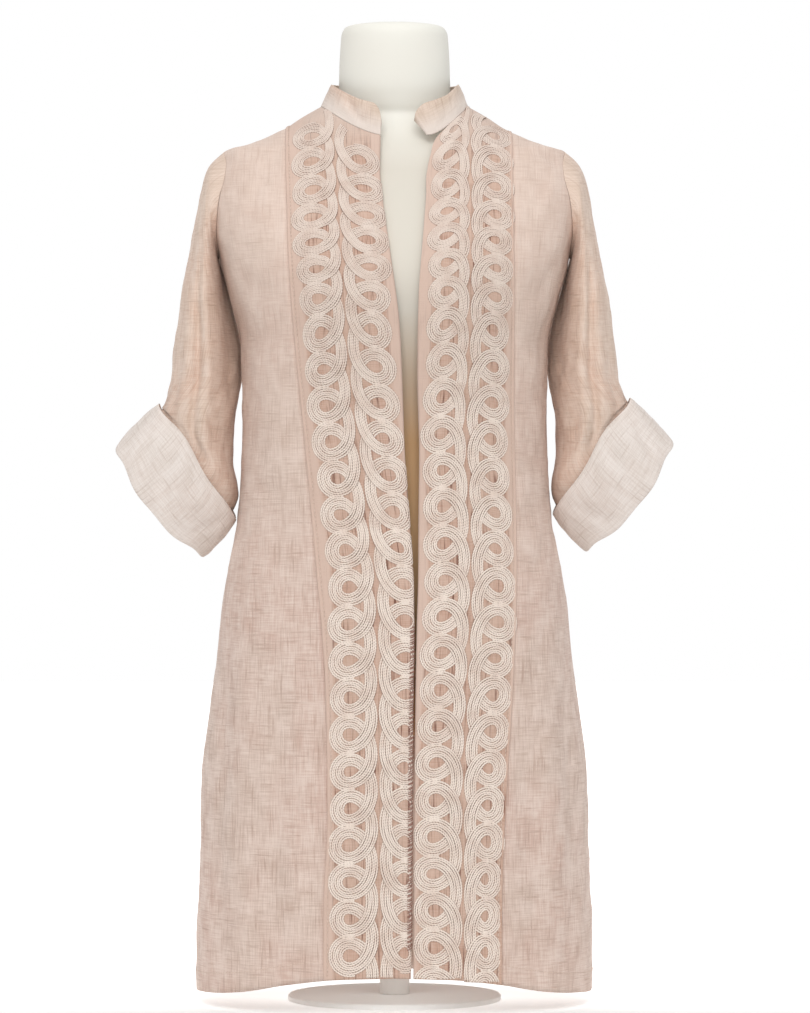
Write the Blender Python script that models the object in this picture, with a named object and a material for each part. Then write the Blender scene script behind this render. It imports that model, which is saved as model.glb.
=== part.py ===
"""Embroidered linen jacket on a limbless dress form.

Metres, +Z up. The jacket faces -Y, the wearer's left is +X, and the origin is the middle of the
stand base's underside. Right and left are the wearer's. Every cloth panel is a thin wall on one
common body surface: a stack of rounded sections, with the front and the back meeting in y = 0.
"""

import math

import bpy
import numpy as np


def table(columns, *rows):
    """A table with a row for each section and a name for each column."""
    return np.array(list(rows), dtype=[(name, float) for name in columns.split()])


# Cloth
WALL = 0.0015
BAND_WALL = 0.0020
SEAM = 0.0003
BAND_SEAM = 0.0007
CORD_RELIEF = 0.0014

# Armhole and neck
UNDERARM_Z = 0.800
SHOULDER_TIP_Z = 0.915
ARMHOLE_HALF_DEPTH = 0.060
NECK_HALF_WIDTH = 0.080
BACK_NECK_DROP = 0.006
NECKLINE_POWER = 1.5

# Sampling of the walls
ARMHOLE_STEPS = 10
ROWS_BELOW_ARMHOLE = 16
FRONT_STEPS = 9
BACK_STEPS = 18
LOOP_ROWS = 25
EDGE_CROWDING = 1.6
FINE_STEPS = 500
SETTLE_ROUNDS = 12
NEAR = 1e-5

# Outer sections of the body, hem to neck point
BODY = table(
    "z half_width front back power",
    (0.005, 0.2125, 0.158, 0.132, 2.4),
    (0.064, 0.2133, 0.157, 0.131, 2.4),
    (0.150, 0.2095, 0.154, 0.129, 2.4),
    (0.240, 0.2078, 0.149, 0.126, 2.4),
    (0.320, 0.1985, 0.142, 0.121, 2.4),
    (0.370, 0.1915, 0.138, 0.115, 2.4),
    (0.426, 0.1862, 0.133, 0.108, 2.4),
    (0.477, 0.1770, 0.129, 0.100, 2.4),
    (0.520, 0.1690, 0.127, 0.095, 2.4),
    (0.630, 0.1642, 0.131, 0.089, 2.4),
    (0.700, 0.1650, 0.143, 0.094, 2.4),
    (0.752, 0.1760, 0.150, 0.101, 2.5),
    (0.781, 0.1840, 0.148, 0.104, 2.7),
    (0.800, 0.1880, 0.143, 0.105, 2.8),
    (0.830, 0.1950, 0.130, 0.105, 2.9),
    (0.860, 0.1985, 0.113, 0.101, 2.9),
    (0.885, 0.1960, 0.097, 0.094, 2.7),
    (0.905, 0.1890, 0.084, 0.086, 2.5),
    (0.915, 0.1830, 0.077, 0.081, 2.4),
    (0.921, 0.1615, 0.073, 0.077, 2.3),
    (0.931, 0.1366, 0.067, 0.070, 2.2),
    (0.940, 0.1176, 0.062, 0.064, 2.2),
    (0.951, 0.1010, 0.057, 0.058, 2.2),
    (0.963, 0.0800, 0.052, 0.053, 2.2),
)

# Height of the hem's edge by distance from the middle
HEM = table(
    "x front back",
    (0.000, 0.038, 0.020),
    (0.060, 0.036, 0.019),
    (0.110, 0.030, 0.017),
    (0.160, 0.020, 0.014),
    (0.214, 0.013, 0.013),
)

# Front edge and outer edge of each embroidered band, seen from the front
RIGHT_BAND = table(
    "z front_edge outer_edge",
    (0.030, 0.0175, -0.0746),
    (0.120, 0.0178, -0.0740),
    (0.204, 0.0184, -0.0702),
    (0.329, 0.0196, -0.0722),
    (0.402, 0.0206, -0.0765),
    (0.450, 0.0202, -0.0812),
    (0.520, 0.0160, -0.0875),
    (0.590, 0.0112, -0.0940),
    (0.665, 0.0086, -0.1015),
    (0.717, 0.0062, -0.1062),
    (0.803, -0.0044, -0.1122),
    (0.856, -0.0118, -0.1142),
    (0.893, -0.0150, -0.1158),
    (0.945, -0.0143, -0.1176),
)
LEFT_BAND = table(
    "z front_edge outer_edge",
    (0.030, 0.0200, 0.1133),
    (0.120, 0.0204, 0.1137),
    (0.204, 0.0210, 0.1170),
    (0.329, 0.0222, 0.1248),
    (0.402, 0.0235, 0.1286),
    (0.460, 0.0252, 0.1300),
    (0.525, 0.0256, 0.1294),
    (0.590, 0.0262, 0.1280),
    (0.665, 0.0244, 0.1270),
    (0.750, 0.0248, 0.1272),
    (0.821, 0.0256, 0.1264),
    (0.894, 0.0262, 0.1262),
    (0.912, 0.0312, 0.1264),
    (0.945, 0.0380, 0.1266),
)
NECK_FRONT_Z = 0.928

# Embroidered loops: rings around a ground-coloured hole, in lattice steps of half a loop
RING_STEPS = ((-1, -1), (-1, 0), (-1, 1), (0, 1), (1, 1), (1, 0), (1, -1), (0, -1))
CREST_REACH = 0.68
RIM_REACH = 0.36
CORNER_REACH = 0.78
HOLE_SHIFT = 0.10
CENTRE_LINE_SHARE = 0.4
RIM_SHARE = 0.75
NECK_POINT_COLUMN = 3
NECK_WARP_SHARE = 0.12
SLOPE_STEP = 0.002

# Stand collar by its way round, right front end to left front end
COLLAR_ROWS = 4
COLLAR_END_PLACES = (0, 0.08, 0.18, 0.32, 0.5, 0.75)
COLLAR_CORNER_SHARE = 0.55
COLLAR_CORNER = 0.012
COLLAR_LEFT_SLANT = 0.012
COLLAR_SLANT_LENGTH = 0.035
COLLAR = table(
    "along height lean",
    (0.00, 0.034, 0.004),
    (0.22, 0.024, 0.0115),
    (0.50, 0.033, 0.005),
    (0.78, 0.024, 0.0110),
    (1.00, 0.034, 0.004),
)

# Right sleeve below its armhole: outer and inner edge seen from the front, half depth, and how far its
# inner edge is tucked back behind the body's side
SLEEVE = table(
    "x_out z_out x_in z_in half_depth y_mid tuck",
    (0.2000, 0.8990, 0.1908, 0.7985, 0.062, 0.000, 0.004),
    (0.2090, 0.8716, 0.1878, 0.7900, 0.065, 0.000, 0.018),
    (0.2144, 0.8420, 0.1838, 0.7760, 0.068, 0.000, 0.032),
    (0.2212, 0.8060, 0.1786, 0.7580, 0.070, -0.001, 0.043),
    (0.2295, 0.7646, 0.1726, 0.7370, 0.071, -0.002, 0.049),
    (0.2344, 0.7290, 0.1676, 0.7170, 0.070, -0.003, 0.050),
    (0.2390, 0.6930, 0.1650, 0.6980, 0.067, -0.004, 0.047),
    (0.2418, 0.6650, 0.1656, 0.6720, 0.063, -0.005, 0.037),
    (0.2455, 0.6500, 0.1705, 0.6430, 0.060, -0.006, 0.018),
    (0.2485, 0.6425, 0.1738, 0.6150, 0.056, -0.007, 0.010),
    (0.2508, 0.6390, 0.1742, 0.5800, 0.050, -0.008, 0.010),
    (0.2525, 0.6358, 0.1696, 0.5400, 0.043, -0.009, 0.006),
)
TUCK_POWER = 3
LEFT_SLEEVE_LIFT = 0.006
SLEEVE_LIFT_START_Z = 0.750
SLEEVE_LIFT_LENGTH = 0.12

# Long folds down the sleeve: place round it (0 inner, 1 outer edge) at their top and end, front or back
SLEEVE_FOLDS = table(
    "place end face width depth first last",
    (0.20, 0.14, -1, 0.09, 0.0060, 2, 8),
    (0.70, 0.52, -1, 0.08, 0.0065, 2, 11),
    (0.90, 0.84, -1, 0.06, 0.0030, 4, 11),
    (0.40, 0.40, 1, 0.11, 0.0045, 3, 10),
    (0.72, 0.66, 1, 0.09, 0.0040, 2, 9),
)

# Turned-back cuff: its free edge and its fold, then its section from free edge to fold and back
CUFF = table(
    "x_out z_out x_in z_in half_depth y_mid tuck",
    (0.2570, 0.6420, 0.1708, 0.5170, 0.046, -0.009, 0.000),
    (0.2992, 0.5990, 0.2040, 0.4780, 0.042, -0.010, 0.000),
)
CUFF_TILT = 0.16
CUFF_SAG = 0.10
CUFF_SECTION = table(
    "along inset",
    (0.00, 0.0000),
    (0.30, -0.0020),
    (0.70, -0.0010),
    (0.95, 0.0005),
    (1.00, 0.0020),
    (0.98, 0.0034),
    (0.90, 0.0042),
    (0.80, 0.0045),
    (0.80, 0.0030),
    (0.93, 0.0024),
    (0.70, 0.0006),
    (0.30, -0.0005),
    (0.00, 0.0015),
)
CUFF_LIP = 0.80
CUFF_LIP_INSET = 0.0030
CUFF_DEPTH = 0.057
SLEEVE_IN_CUFF = 0.45
SLEEVE_IN_CUFF_INSET = 0.0065

# Dress form: ease inside the body's sections, then the neck
FORM_STEPS = 28
FORM_LIFT = 0.0014
FORM_MOST_HALF_WIDTH = 0.171
FORM_EASE = table(
    "z side front_back power",
    (0.290, 0.046, 0.036, 2.4),
    (0.302, 0.038, 0.030, 2.4),
    (0.360, 0.030, 0.026, 2.4),
    (0.430, 0.026, 0.024, 2.4),
    (0.520, 0.022, 0.022, 2.4),
    (0.630, 0.022, 0.022, 2.4),
    (0.700, 0.016, 0.016, 2.4),
    (0.760, 0.010, 0.010, 2.4),
    (0.800, 0.008, 0.008, 2.5),
    (0.840, 0.008, 0.008, 2.5),
    (0.875, 0.008, 0.009, 2.4),
    (0.900, 0.008, 0.011, 2.2),
    (0.912, 0.0085, 0.012, 2.0),
    (0.9195, 0.0030, 0.014, 1.7),
    (0.927, 0.0026, 0.016, 1.45),
    (0.936, 0.0026, 0.017, 1.4),
    (0.946, 0.0030, 0.017, 1.4),
    (0.955, 0.0085, 0.016, 1.6),
)
FORM_NECK = table(
    "z half_width front back power",
    (0.963, 0.0640, 0.0420, 0.0400, 1.9),
    (0.972, 0.0612, 0.0450, 0.0410, 2.0),
    (0.985, 0.0602, 0.0480, 0.0420, 2.1),
    (1.010, 0.0594, 0.0500, 0.0430, 2.1),
    (1.034, 0.0580, 0.0510, 0.0440, 2.1),
    (1.044, 0.0563, 0.0495, 0.0425, 2.1),
    (1.050, 0.0505, 0.0440, 0.0380, 2.1),
    (1.0528, 0.0330, 0.0290, 0.0250, 2.1),
)
FORM_TOP_Z = 1.0538

# Stand
BASE_RADIUS = 0.115
BASE_HEIGHT = 0.006
BASE_EDGE = 0.0015
POLE_RADIUS = 0.016
ROUND_STEPS = 32

# Finishes: colour, roughness, metallic
FINISHES = {
    "linen": ((0.70, 0.55, 0.46), 0.90, 0.0),
    "embroidery": ((0.76, 0.63, 0.53), 0.85, 0.0),
    "cuff": ((0.74, 0.66, 0.60), 0.90, 0.0),
    "form": ((0.86, 0.84, 0.76), 0.60, 0.0),
    "stand": ((0.80, 0.79, 0.75), 0.45, 0.0),
}


def smooth(sections, column, at):
    """A monotone cubic through one column of a table, over its first column."""
    x = sections[sections.dtype.names[0]]
    y = sections[column]
    step = np.diff(x)
    slope = np.diff(y) / step
    product = np.clip(slope[1:] * slope[:-1], 0, None)
    total = slope[1:] + slope[:-1]
    inner = 2 * product / np.where(total == 0, 1, total)
    tangent = np.concatenate([slope[:1], inner, slope[-1:]])
    at = np.clip(at, x[0], x[-1])
    i = np.clip(np.searchsorted(x, at) - 1, 0, len(step) - 1)
    t = (at - x[i]) / step[i]
    rise = y[i] * (1 + 2 * t) * (1 - t) ** 2 + y[i + 1] * t * t * (3 - 2 * t)
    return rise + step[i] * t * (1 - t) * (tangent[i] * (1 - t) - tangent[i + 1] * t)


def soft_step(t):
    """0 below 0, 1 above 1, and a smooth rise between them."""
    t = np.clip(t, 0, 1)
    return t * t * (3 - 2 * t)


def depth(x, z, face):
    """How far the cloth stands before or behind the side seams' plane."""
    half = smooth(BODY, "half_width", z)
    power = smooth(BODY, "power", z)
    inside = np.clip(1 - (np.abs(x) / half) ** power, 0, None)
    return smooth(BODY, face, z) * inside ** (1 / power)


def shoulder_z(x):
    """Height of the shoulder line, which is where the sections' width runs out."""
    z = np.linspace(SHOULDER_TIP_Z, BODY["z"][-1], FINE_STEPS)
    return np.interp(np.abs(x), smooth(BODY, "half_width", z)[::-1], z[::-1])


def side_x(z, face):
    """Half width along the side seam, then along the armhole's edge up to the shoulder tip."""
    z = np.minimum(z, SHOULDER_TIP_Z)
    middle = (SHOULDER_TIP_Z + UNDERARM_Z) / 2
    half_height = (SHOULDER_TIP_Z - UNDERARM_Z) / 2
    reach = np.clip(1 - ((z - middle) / half_height) ** 2, 0, None) ** 0.5
    power = smooth(BODY, "power", z)
    share = ARMHOLE_HALF_DEPTH * reach / smooth(BODY, face, z)
    return smooth(BODY, "half_width", z) * (1 - share**power) ** (1 / power)


def panel_rows():
    """Row places from hem to top: even up to the underarm, then evenly round the armhole."""
    hem = HEM["front"][-1]
    angle = np.linspace(0, math.pi, ARMHOLE_STEPS + 1)
    armhole = UNDERARM_Z + (SHOULDER_TIP_Z - UNDERARM_Z) * (1 - np.cos(angle)) / 2
    below = np.linspace(hem, UNDERARM_Z, ROWS_BELOW_ARMHOLE + 1)[:-1]
    return (np.concatenate([below, armhole]) - hem) / (SHOULDER_TIP_Z - hem)


def outward_normals(points, round_it=False):
    """Unit normals of a grid of points, along the cross product of its two directions."""
    if round_it:
        across = np.roll(points, -1, 1) - np.roll(points, 1, 1)
    else:
        across = np.gradient(points, axis=1)
    normal = np.cross(across, np.gradient(points, axis=0))
    return normal / np.linalg.norm(normal, axis=2, keepdims=True)


def grid_faces(rows, columns, start=0, round_it=False):
    """Quads of a grid of points numbered by rows."""
    faces = []
    for i in range(rows - 1):
        for j in range(columns if round_it else columns - 1):
            k = (j + 1) % columns
            low = start + i * columns
            high = low + columns
            faces.append((low + j, low + k, high + k, high + j))
    return faces


def rim(rows, columns):
    """Point numbers along the edge of a grid, once round."""
    bottom = list(range(columns))
    right = [i * columns + columns - 1 for i in range(1, rows)]
    top = [(rows - 1) * columns + j for j in range(columns - 2, -1, -1)]
    left = [i * columns for i in range(rows - 2, 0, -1)]
    return bottom + right + top + left


def add_solid(name, points, faces, finish):
    """One closed body, with its faces turned outwards, and its own material."""
    mesh = bpy.data.meshes.new(name)
    mesh.from_pydata([tuple(point) for point in points], [], faces)
    mesh.calc_loop_triangles()
    corners = np.array([triangle.vertices for triangle in mesh.loop_triangles])
    if np.linalg.det(np.asarray(points)[corners]).sum() < 0:
        mesh.flip_normals()
    mesh.shade_smooth()
    mesh.set_sharp_from_angle(angle=math.radians(50))
    colour, roughness, metallic = FINISHES[finish]
    material = bpy.data.materials.new(name)
    material.use_nodes = True
    shader = material.node_tree.nodes["Principled BSDF"]
    shader.inputs["Base Color"].default_value = (*colour, 1)
    shader.inputs["Roughness"].default_value = roughness
    shader.inputs["Metallic"].default_value = metallic
    mesh.materials.append(material)
    obj = bpy.data.objects.new(name, mesh)
    bpy.context.collection.objects.link(obj)
    return obj


def add_panel(name, outer, inner, finish):
    """A wall between two open grids of points."""
    rows, columns = outer.shape[:2]
    count = rows * columns
    faces = grid_faces(rows, columns)
    faces += [face[::-1] for face in grid_faces(rows, columns, count)]
    edge = rim(rows, columns)
    for a, b in zip(edge, edge[1:] + edge[:1]):
        faces.append((b, a, a + count, b + count))
    points = np.concatenate([outer.reshape(-1, 3), inner.reshape(-1, 3)])
    add_solid(name, points, faces, finish)


def add_loop_of_rings(name, rings, finish):
    """A closed skin through rings that come back to the first, such as a wall turned round a tube."""
    rows, columns = rings.shape[:2]
    closed = np.concatenate([rings, rings[:1]])
    faces = grid_faces(rows + 1, columns, round_it=True)
    faces = [tuple(index % (rows * columns) for index in face) for face in faces]
    add_solid(name, closed[:rows].reshape(-1, 3), faces, finish)


def add_stack(name, rings, bottom, top, finish):
    """A solid through rings from bottom to top, closed by a point at each end."""
    rows, columns = rings.shape[:2]
    faces = grid_faces(rows, columns, round_it=True)
    low = rows * columns
    last = (rows - 1) * columns
    for j in range(columns):
        k = (j + 1) % columns
        faces.append((low, k, j))
        faces.append((low + 1, last + j, last + k))
    points = np.concatenate([rings.reshape(-1, 3), [bottom, top]])
    add_solid(name, points, faces, finish)


def front_top_z(x, band):
    """Height of a front's top edge: the neckline, then the shoulder line."""
    start = abs(band["front_edge"][-1])
    t = np.clip((np.abs(x) - start) / (NECK_HALF_WIDTH - start), 0, 1)
    neckline = NECK_FRONT_Z + (BODY["z"][-1] - NECK_FRONT_Z) * t**NECKLINE_POWER
    return np.where(np.abs(x) < NECK_HALF_WIDTH, neckline, shoulder_z(x))


def back_top_z(x):
    """Height of the back's top edge: the neckline, then the shoulder line."""
    dip = BACK_NECK_DROP * (1 - (np.clip(np.abs(x), 0, NECK_HALF_WIDTH) / NECK_HALF_WIDTH) ** 2)
    return np.where(np.abs(x) < NECK_HALF_WIDTH, BODY["z"][-1] - dip, shoulder_z(x))


def settle(x_of_z, z_of_x, start):
    """Where a column that leans with height meets a line across it."""
    z = start
    for _ in range(SETTLE_ROUNDS):
        z = z_of_x(x_of_z(z))
    return z


def column_heights(place, x_between, top_z, face):
    """Heights of points at places (across, up) on a panel, from its hem to its top edge."""
    across, up = place

    def x_at(z):
        return x_between(across, z)

    hem = settle(x_at, lambda x: smooth(HEM, face, np.abs(x)), 0 * across + HEM[face][0])
    top = settle(x_at, top_z, 0 * across + NECK_FRONT_Z)
    return hem + up * (top - hem)


def band_points(across, up, band):
    """Points of the cloth under a band, at places across it (from the front edge) and up it."""

    def between(share, z):
        return (1 - share) * smooth(band, "front_edge", z) + share * smooth(band, "outer_edge", z)

    z = column_heights((across, up), between, lambda x: front_top_z(x, band), "front")
    x = between(across, z)
    on_shoulder = (up >= 1) & (np.abs(x) > NECK_HALF_WIDTH - NEAR)
    y = np.where(on_shoulder, 0, -depth(x, z, "front")) - SEAM / 2
    return np.stack([x, y, z], axis=-1)


def front_points(across, up, band):
    """Points of a plain front, from the band's outer edge to the side seam and armhole."""
    sign = np.sign(band["outer_edge"][0])

    def between(share, z):
        start = smooth(band, "outer_edge", z) + sign * BAND_SEAM
        return (1 - share) * start + share * sign * side_x(z, "front")

    z = column_heights((across, up), between, shoulder_z, "front")
    x = between(across, z)
    on_seam = (up >= 1) | ((across >= 1) & (z < UNDERARM_Z + NEAR))
    y = np.where(on_seam, 0, -depth(x, z, "front")) - SEAM / 2
    return np.stack([x, y, z], axis=-1)


def back_points(across, up):
    """Points of the back, with places across it from -1 at the right to 1 at the left."""

    def between(share, z):
        return share * side_x(z, "back")

    z = column_heights((across, up), between, back_top_z, "back")
    x = between(across, z)
    on_shoulder = (up >= 1) & (np.abs(x) > NECK_HALF_WIDTH - NEAR)
    on_seam = on_shoulder | ((np.abs(across) >= 1) & (z < UNDERARM_Z + NEAR))
    y = np.where(on_seam, 0, depth(x, z, "back")) + SEAM / 2
    return np.stack([x, y, z], axis=-1)


def inner_side(points, normal, wall):
    """The wall's inside. Along the seams in y = 0 it keeps to that plane."""
    normal = normal.copy()
    seam = np.abs(points[..., 1]) < SEAM
    normal[seam, 1] = 0
    normal /= np.linalg.norm(normal, axis=-1, keepdims=True)
    return points - wall * normal


def facing(normal, sign):
    """Normals turned to the front (-1) or to the back (1)."""
    return normal * np.sign(sign * normal[..., 1].mean())


def make_front(name, band):
    """Plain front panel."""
    share = np.linspace(0, 1, FRONT_STEPS + 1)
    across, up = np.meshgrid(1 - (1 - share) ** EDGE_CROWDING, panel_rows())
    outer = front_points(across, up, band)
    normal = facing(outward_normals(outer), -1)
    add_panel(name, outer, inner_side(outer, normal, WALL), "linen")
    return outer[-ARMHOLE_STEPS - 1 :, -1]


def make_back():
    """Back panel. Its columns include the two neck points."""
    neck = NECK_HALF_WIDTH / float(side_x(np.array(SHOULDER_TIP_Z), "back"))
    half = BACK_STEPS // 2
    inner = half // 2
    outer_share = np.linspace(0, 1, half - inner + 1)[1:]
    beyond = neck + (1 - neck) * (1 - (1 - outer_share) ** EDGE_CROWDING)
    place = np.concatenate([np.linspace(0, neck, inner + 1), beyond])
    across, up = np.meshgrid(np.concatenate([-place[:0:-1], place]), panel_rows())
    outer = back_points(across, up)
    normal = facing(outward_normals(outer), 1)
    add_panel("back", outer, inner_side(outer, normal, WALL), "linen")
    return outer


def loop_lattice(band):
    """Row places half a loop apart, even along the cloth at the band's middle."""
    up = np.linspace(0, 1, FINE_STEPS)
    line = band_points(0 * up + 0.5, up, band)
    length = np.concatenate([[0], np.cumsum(np.linalg.norm(np.diff(line, axis=0), axis=1))])
    return np.interp(np.linspace(0, length[-1], 2 * LOOP_ROWS + 1), length, up)


def make_band(name, band):
    """Embroidered band: two columns of raised rings on the outside, over a plain inside."""
    rows = loop_lattice(band)
    start = abs(band["front_edge"][-1])
    neck = (NECK_HALF_WIDTH - start) / (abs(band["outer_edge"][-1]) - start)

    def surface(row, column):
        """Base points and normals at lattice places, the columns drawn to the neck point on top."""
        up = np.interp(row, np.arange(len(rows)), rows)
        even = column / 4
        drawn = np.interp(column, (0, NECK_POINT_COLUMN, 4), (0, neck, 1))
        across = even + (drawn - even) * soft_step((up - 1 + NECK_WARP_SHARE) / NECK_WARP_SHARE)
        base = band_points(across, up, band)
        below = np.minimum(up, 1 - SLOPE_STEP)
        right = band_points(across + SLOPE_STEP, below, band)
        sideways = right - band_points(across - SLOPE_STEP, below, band)
        upward = band_points(across, below, band) - band_points(across, below - SLOPE_STEP, band)
        normal = np.cross(sideways, upward)
        normal /= np.linalg.norm(normal, axis=-1, keepdims=True)
        return base, facing(normal, -1)

    lattice_rows = 2 * LOOP_ROWS + 1
    column, row = np.meshgrid(np.arange(5.0), np.arange(float(lattice_rows)))
    base, normal = surface(row, column)
    height = np.where((column == 2) & (row > 0) & (row < lattice_rows - 1), CENTRE_LINE_SHARE, 0)
    lattice = base + CORD_RELIEF * height[..., None] * normal
    inner = inner_side(base, normal, BAND_WALL)
    points = [lattice.reshape(-1, 3), inner.reshape(-1, 3)]
    count = lattice_rows * 5
    faces = [face[::-1] for face in grid_faces(lattice_rows, 5, count)]
    edge = rim(lattice_rows, 5)
    for a, b in zip(edge, edge[1:] + edge[:1]):
        faces.append((b, a, a + count, b + count))
    reach = np.array([CORNER_REACH if di and dj else 1 for di, dj in RING_STEPS])
    steps = np.array(RING_STEPS, float)
    next_point = 2 * count
    for loop in range(LOOP_ROWS):
        for side, shift in ((0, -HOLE_SHIFT), (1, HOLE_SHIFT)):
            middle = np.array([2 * loop + 1, 2 * side + 1])
            hole = middle + (0, shift)
            edge_ring = [int((middle[0] + di) * 5 + middle[1] + dj) for di, dj in RING_STEPS]
            for share, raised in ((CREST_REACH, 1), (RIM_REACH, RIM_SHARE)):
                place = hole + share * reach[:, None] * steps
                ring, up = surface(place[:, 0], place[:, 1])
                points.append(ring + raised * CORD_RELIEF * up)
            centre = int(middle[0] * 5 + middle[1])
            crest = list(range(next_point, next_point + 8))
            hole_rim = list(range(next_point + 8, next_point + 16))
            next_point += 16
            for k in range(8):
                n = (k + 1) % 8
                faces.append((edge_ring[k], edge_ring[n], crest[n], crest[k]))
                faces.append((crest[k], crest[n], hole_rim[n], hole_rim[k]))
                faces.append((hole_rim[k], hole_rim[n], centre))
    add_solid(name, np.concatenate(points), faces, "embroidery")
    return lattice[-1, : NECK_POINT_COLUMN + 1]


def make_collar(right_top, back_top, left_top):
    """Stand collar on the panels' own top points, with rounded front corners."""
    inner = np.abs(back_top[:, 0]) < NECK_HALF_WIDTH - NEAR
    line = np.concatenate([right_top, back_top[inner], left_top[::-1]])
    line[[len(right_top) - 1, -len(left_top)], 1] = 0
    place = np.arange(len(line), dtype=float)
    ends = np.array(COLLAR_END_PLACES)
    fine = np.concatenate([ends, np.arange(1, place[-1] - 0.75, 0.5), place[-1] - ends[::-1]])
    foot = np.stack([np.interp(fine, place, line[:, k]) for k in range(3)], axis=-1)
    length = np.concatenate([[0], np.cumsum(np.linalg.norm(np.diff(foot, axis=0), axis=1))])
    whole = length[-1]
    share = length / whole
    from_end = np.minimum(share, 1 - share) * whole
    corner = np.clip(from_end / COLLAR_CORNER, 0, 1)
    low = 1 - COLLAR_CORNER_SHARE * (1 - np.sqrt(1 - (1 - corner) ** 2))
    height = smooth(COLLAR, "height", share) * low
    lean = smooth(COLLAR, "lean", share)
    slant = COLLAR_LEFT_SLANT * np.clip(1 - (1 - share) * whole / COLLAR_SLANT_LENGTH, 0, 1)
    inward = -foot * (1, 1, 0)
    inward /= np.linalg.norm(inward, axis=1, keepdims=True)
    rise = np.linspace(0, 1, COLLAR_ROWS + 1)[:, None]
    outer = foot + lean[:, None] * inward * rise[..., None]
    outer[..., 0] -= slant * rise
    outer[..., 2] += SEAM + height * rise
    normal = outward_normals(outer)
    normal *= np.sign((normal * -inward).sum(-1).mean())
    normal[0] = -inward
    add_panel("collar", outer, outer - WALL * normal, "linen")


def tube_ring(section, angle, inset=0.0):
    """A ring of a sleeve or cuff: from its inner edge (0) over the front, the outer edge and the back."""
    out = np.array([section["x_out"], section["y_mid"], section["z_out"]])
    inside = np.array([section["x_in"], section["y_mid"], section["z_in"]])
    half = (inside - out) / 2
    half = half * (1 - inset / np.linalg.norm(half))
    ring = (out + inside) / 2 + np.cos(angle)[:, None] * half
    ring[:, 1] += section["tuck"] * ((1 + np.cos(angle)) / 2) ** TUCK_POWER
    ring[:, 1] -= (section["half_depth"] - inset) * np.sin(angle)
    return ring


def cuff_ring(along, inset, angle):
    """A ring of the cuff between its free edge (0) and its fold (1), which hangs lower at the front."""
    hang = 1 + CUFF_TILT * np.sin(angle) + CUFF_SAG * np.sin(angle) ** 2
    free, fold = (tube_ring(section, angle, inset) for section in CUFF)
    return free + (along * hang)[:, None] * (fold - free)


def sleeve_folds(rings, angle):
    """Long troughs pressed into the sleeve's rings, fading out at their ends."""
    place = (1 - np.cos(angle)) / 2
    face = np.where(np.sin(angle) >= 0, -1, 1)
    number = np.arange(len(rings))[:, None]
    middle = rings.mean(axis=1, keepdims=True)
    inward = middle - rings
    inward /= np.linalg.norm(inward, axis=2, keepdims=True)
    for fold in SLEEVE_FOLDS:
        share = np.clip((number - fold["first"]) / (fold["last"] - fold["first"]), 0, 1)
        off = (place - fold["place"] - share * (fold["end"] - fold["place"])) / fold["width"]
        press = fold["depth"] * np.exp(-(off**2)) * (face == fold["face"]) * np.sin(math.pi * share)
        rings = rings + press[..., None] * inward
    return rings


def make_sleeve(side, front_edge, back_edge):
    """Sleeve from its armhole, through its folds, to its end inside the turned-back cuff."""
    sign = -1 if side == "right" else 1
    angle = np.linspace(0, 2 * math.pi, 2 * ARMHOLE_STEPS, endpoint=False)
    armhole = np.concatenate([front_edge, back_edge[-2:0:-1]]) * (sign, 1, 1)
    armhole[[0, ARMHOLE_STEPS], 1] = 0
    armhole = armhole + (SEAM, 0, 0)
    rings = [tube_ring(section, angle) for section in SLEEVE]
    rings = sleeve_folds(np.array(rings), angle)
    end = CUFF_LIP - SEAM / CUFF_DEPTH
    in_cuff = cuff_ring(SLEEVE_IN_CUFF, SLEEVE_IN_CUFF_INSET, angle)
    last = cuff_ring(end, CUFF_LIP_INSET, angle)
    outer = np.concatenate([armhole[None], rings, in_cuff[None], last[None]])
    normal = outward_normals(outer, round_it=True)
    normal *= np.sign((normal * (outer - outer.mean(axis=1, keepdims=True))).sum(-1).mean())
    normal[0, :, 0] = 0
    normal[0] /= np.linalg.norm(normal[0], axis=-1, keepdims=True)
    inner = outer - WALL * normal
    inner[-1] = cuff_ring(end, CUFF_LIP_INSET + WALL, angle)
    loop = placed(np.concatenate([outer, inner[::-1]]), side)
    add_loop_of_rings(f"sleeve_{side}", loop, "linen")


def placed(rings, side):
    """The right sleeve's points, or the left's: mirrored, and lifted a little towards the cuff."""
    if side == "right":
        return rings * (-1, 1, 1)
    lift = LEFT_SLEEVE_LIFT * soft_step((SLEEVE_LIFT_START_Z - rings[..., 2]) / SLEEVE_LIFT_LENGTH)
    return rings + np.stack([0 * lift, 0 * lift, lift], axis=-1)


def make_cuff(side):
    """Turned-back cuff: outer wall, rounded fold and the lip that the sleeve's end meets."""
    angle = np.linspace(0, 2 * math.pi, 2 * ARMHOLE_STEPS, endpoint=False)
    rings = np.array([cuff_ring(row["along"], row["inset"], angle) for row in CUFF_SECTION])
    add_loop_of_rings(f"cuff_{side}", placed(rings, side), "cuff")


def section_ring(z, half_width, front, back, power):
    """A level ring of the dress form."""
    angle = np.linspace(0, 2 * math.pi, FORM_STEPS, endpoint=False)
    c = np.cos(angle)
    s = np.sin(angle)
    x = half_width * np.sign(c) * np.abs(c) ** (2 / power)
    y = np.where(s < 0, front, back) * np.sign(s) * np.abs(s) ** (2 / power)
    return np.stack([x, y, 0 * x + z], axis=-1)


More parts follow.
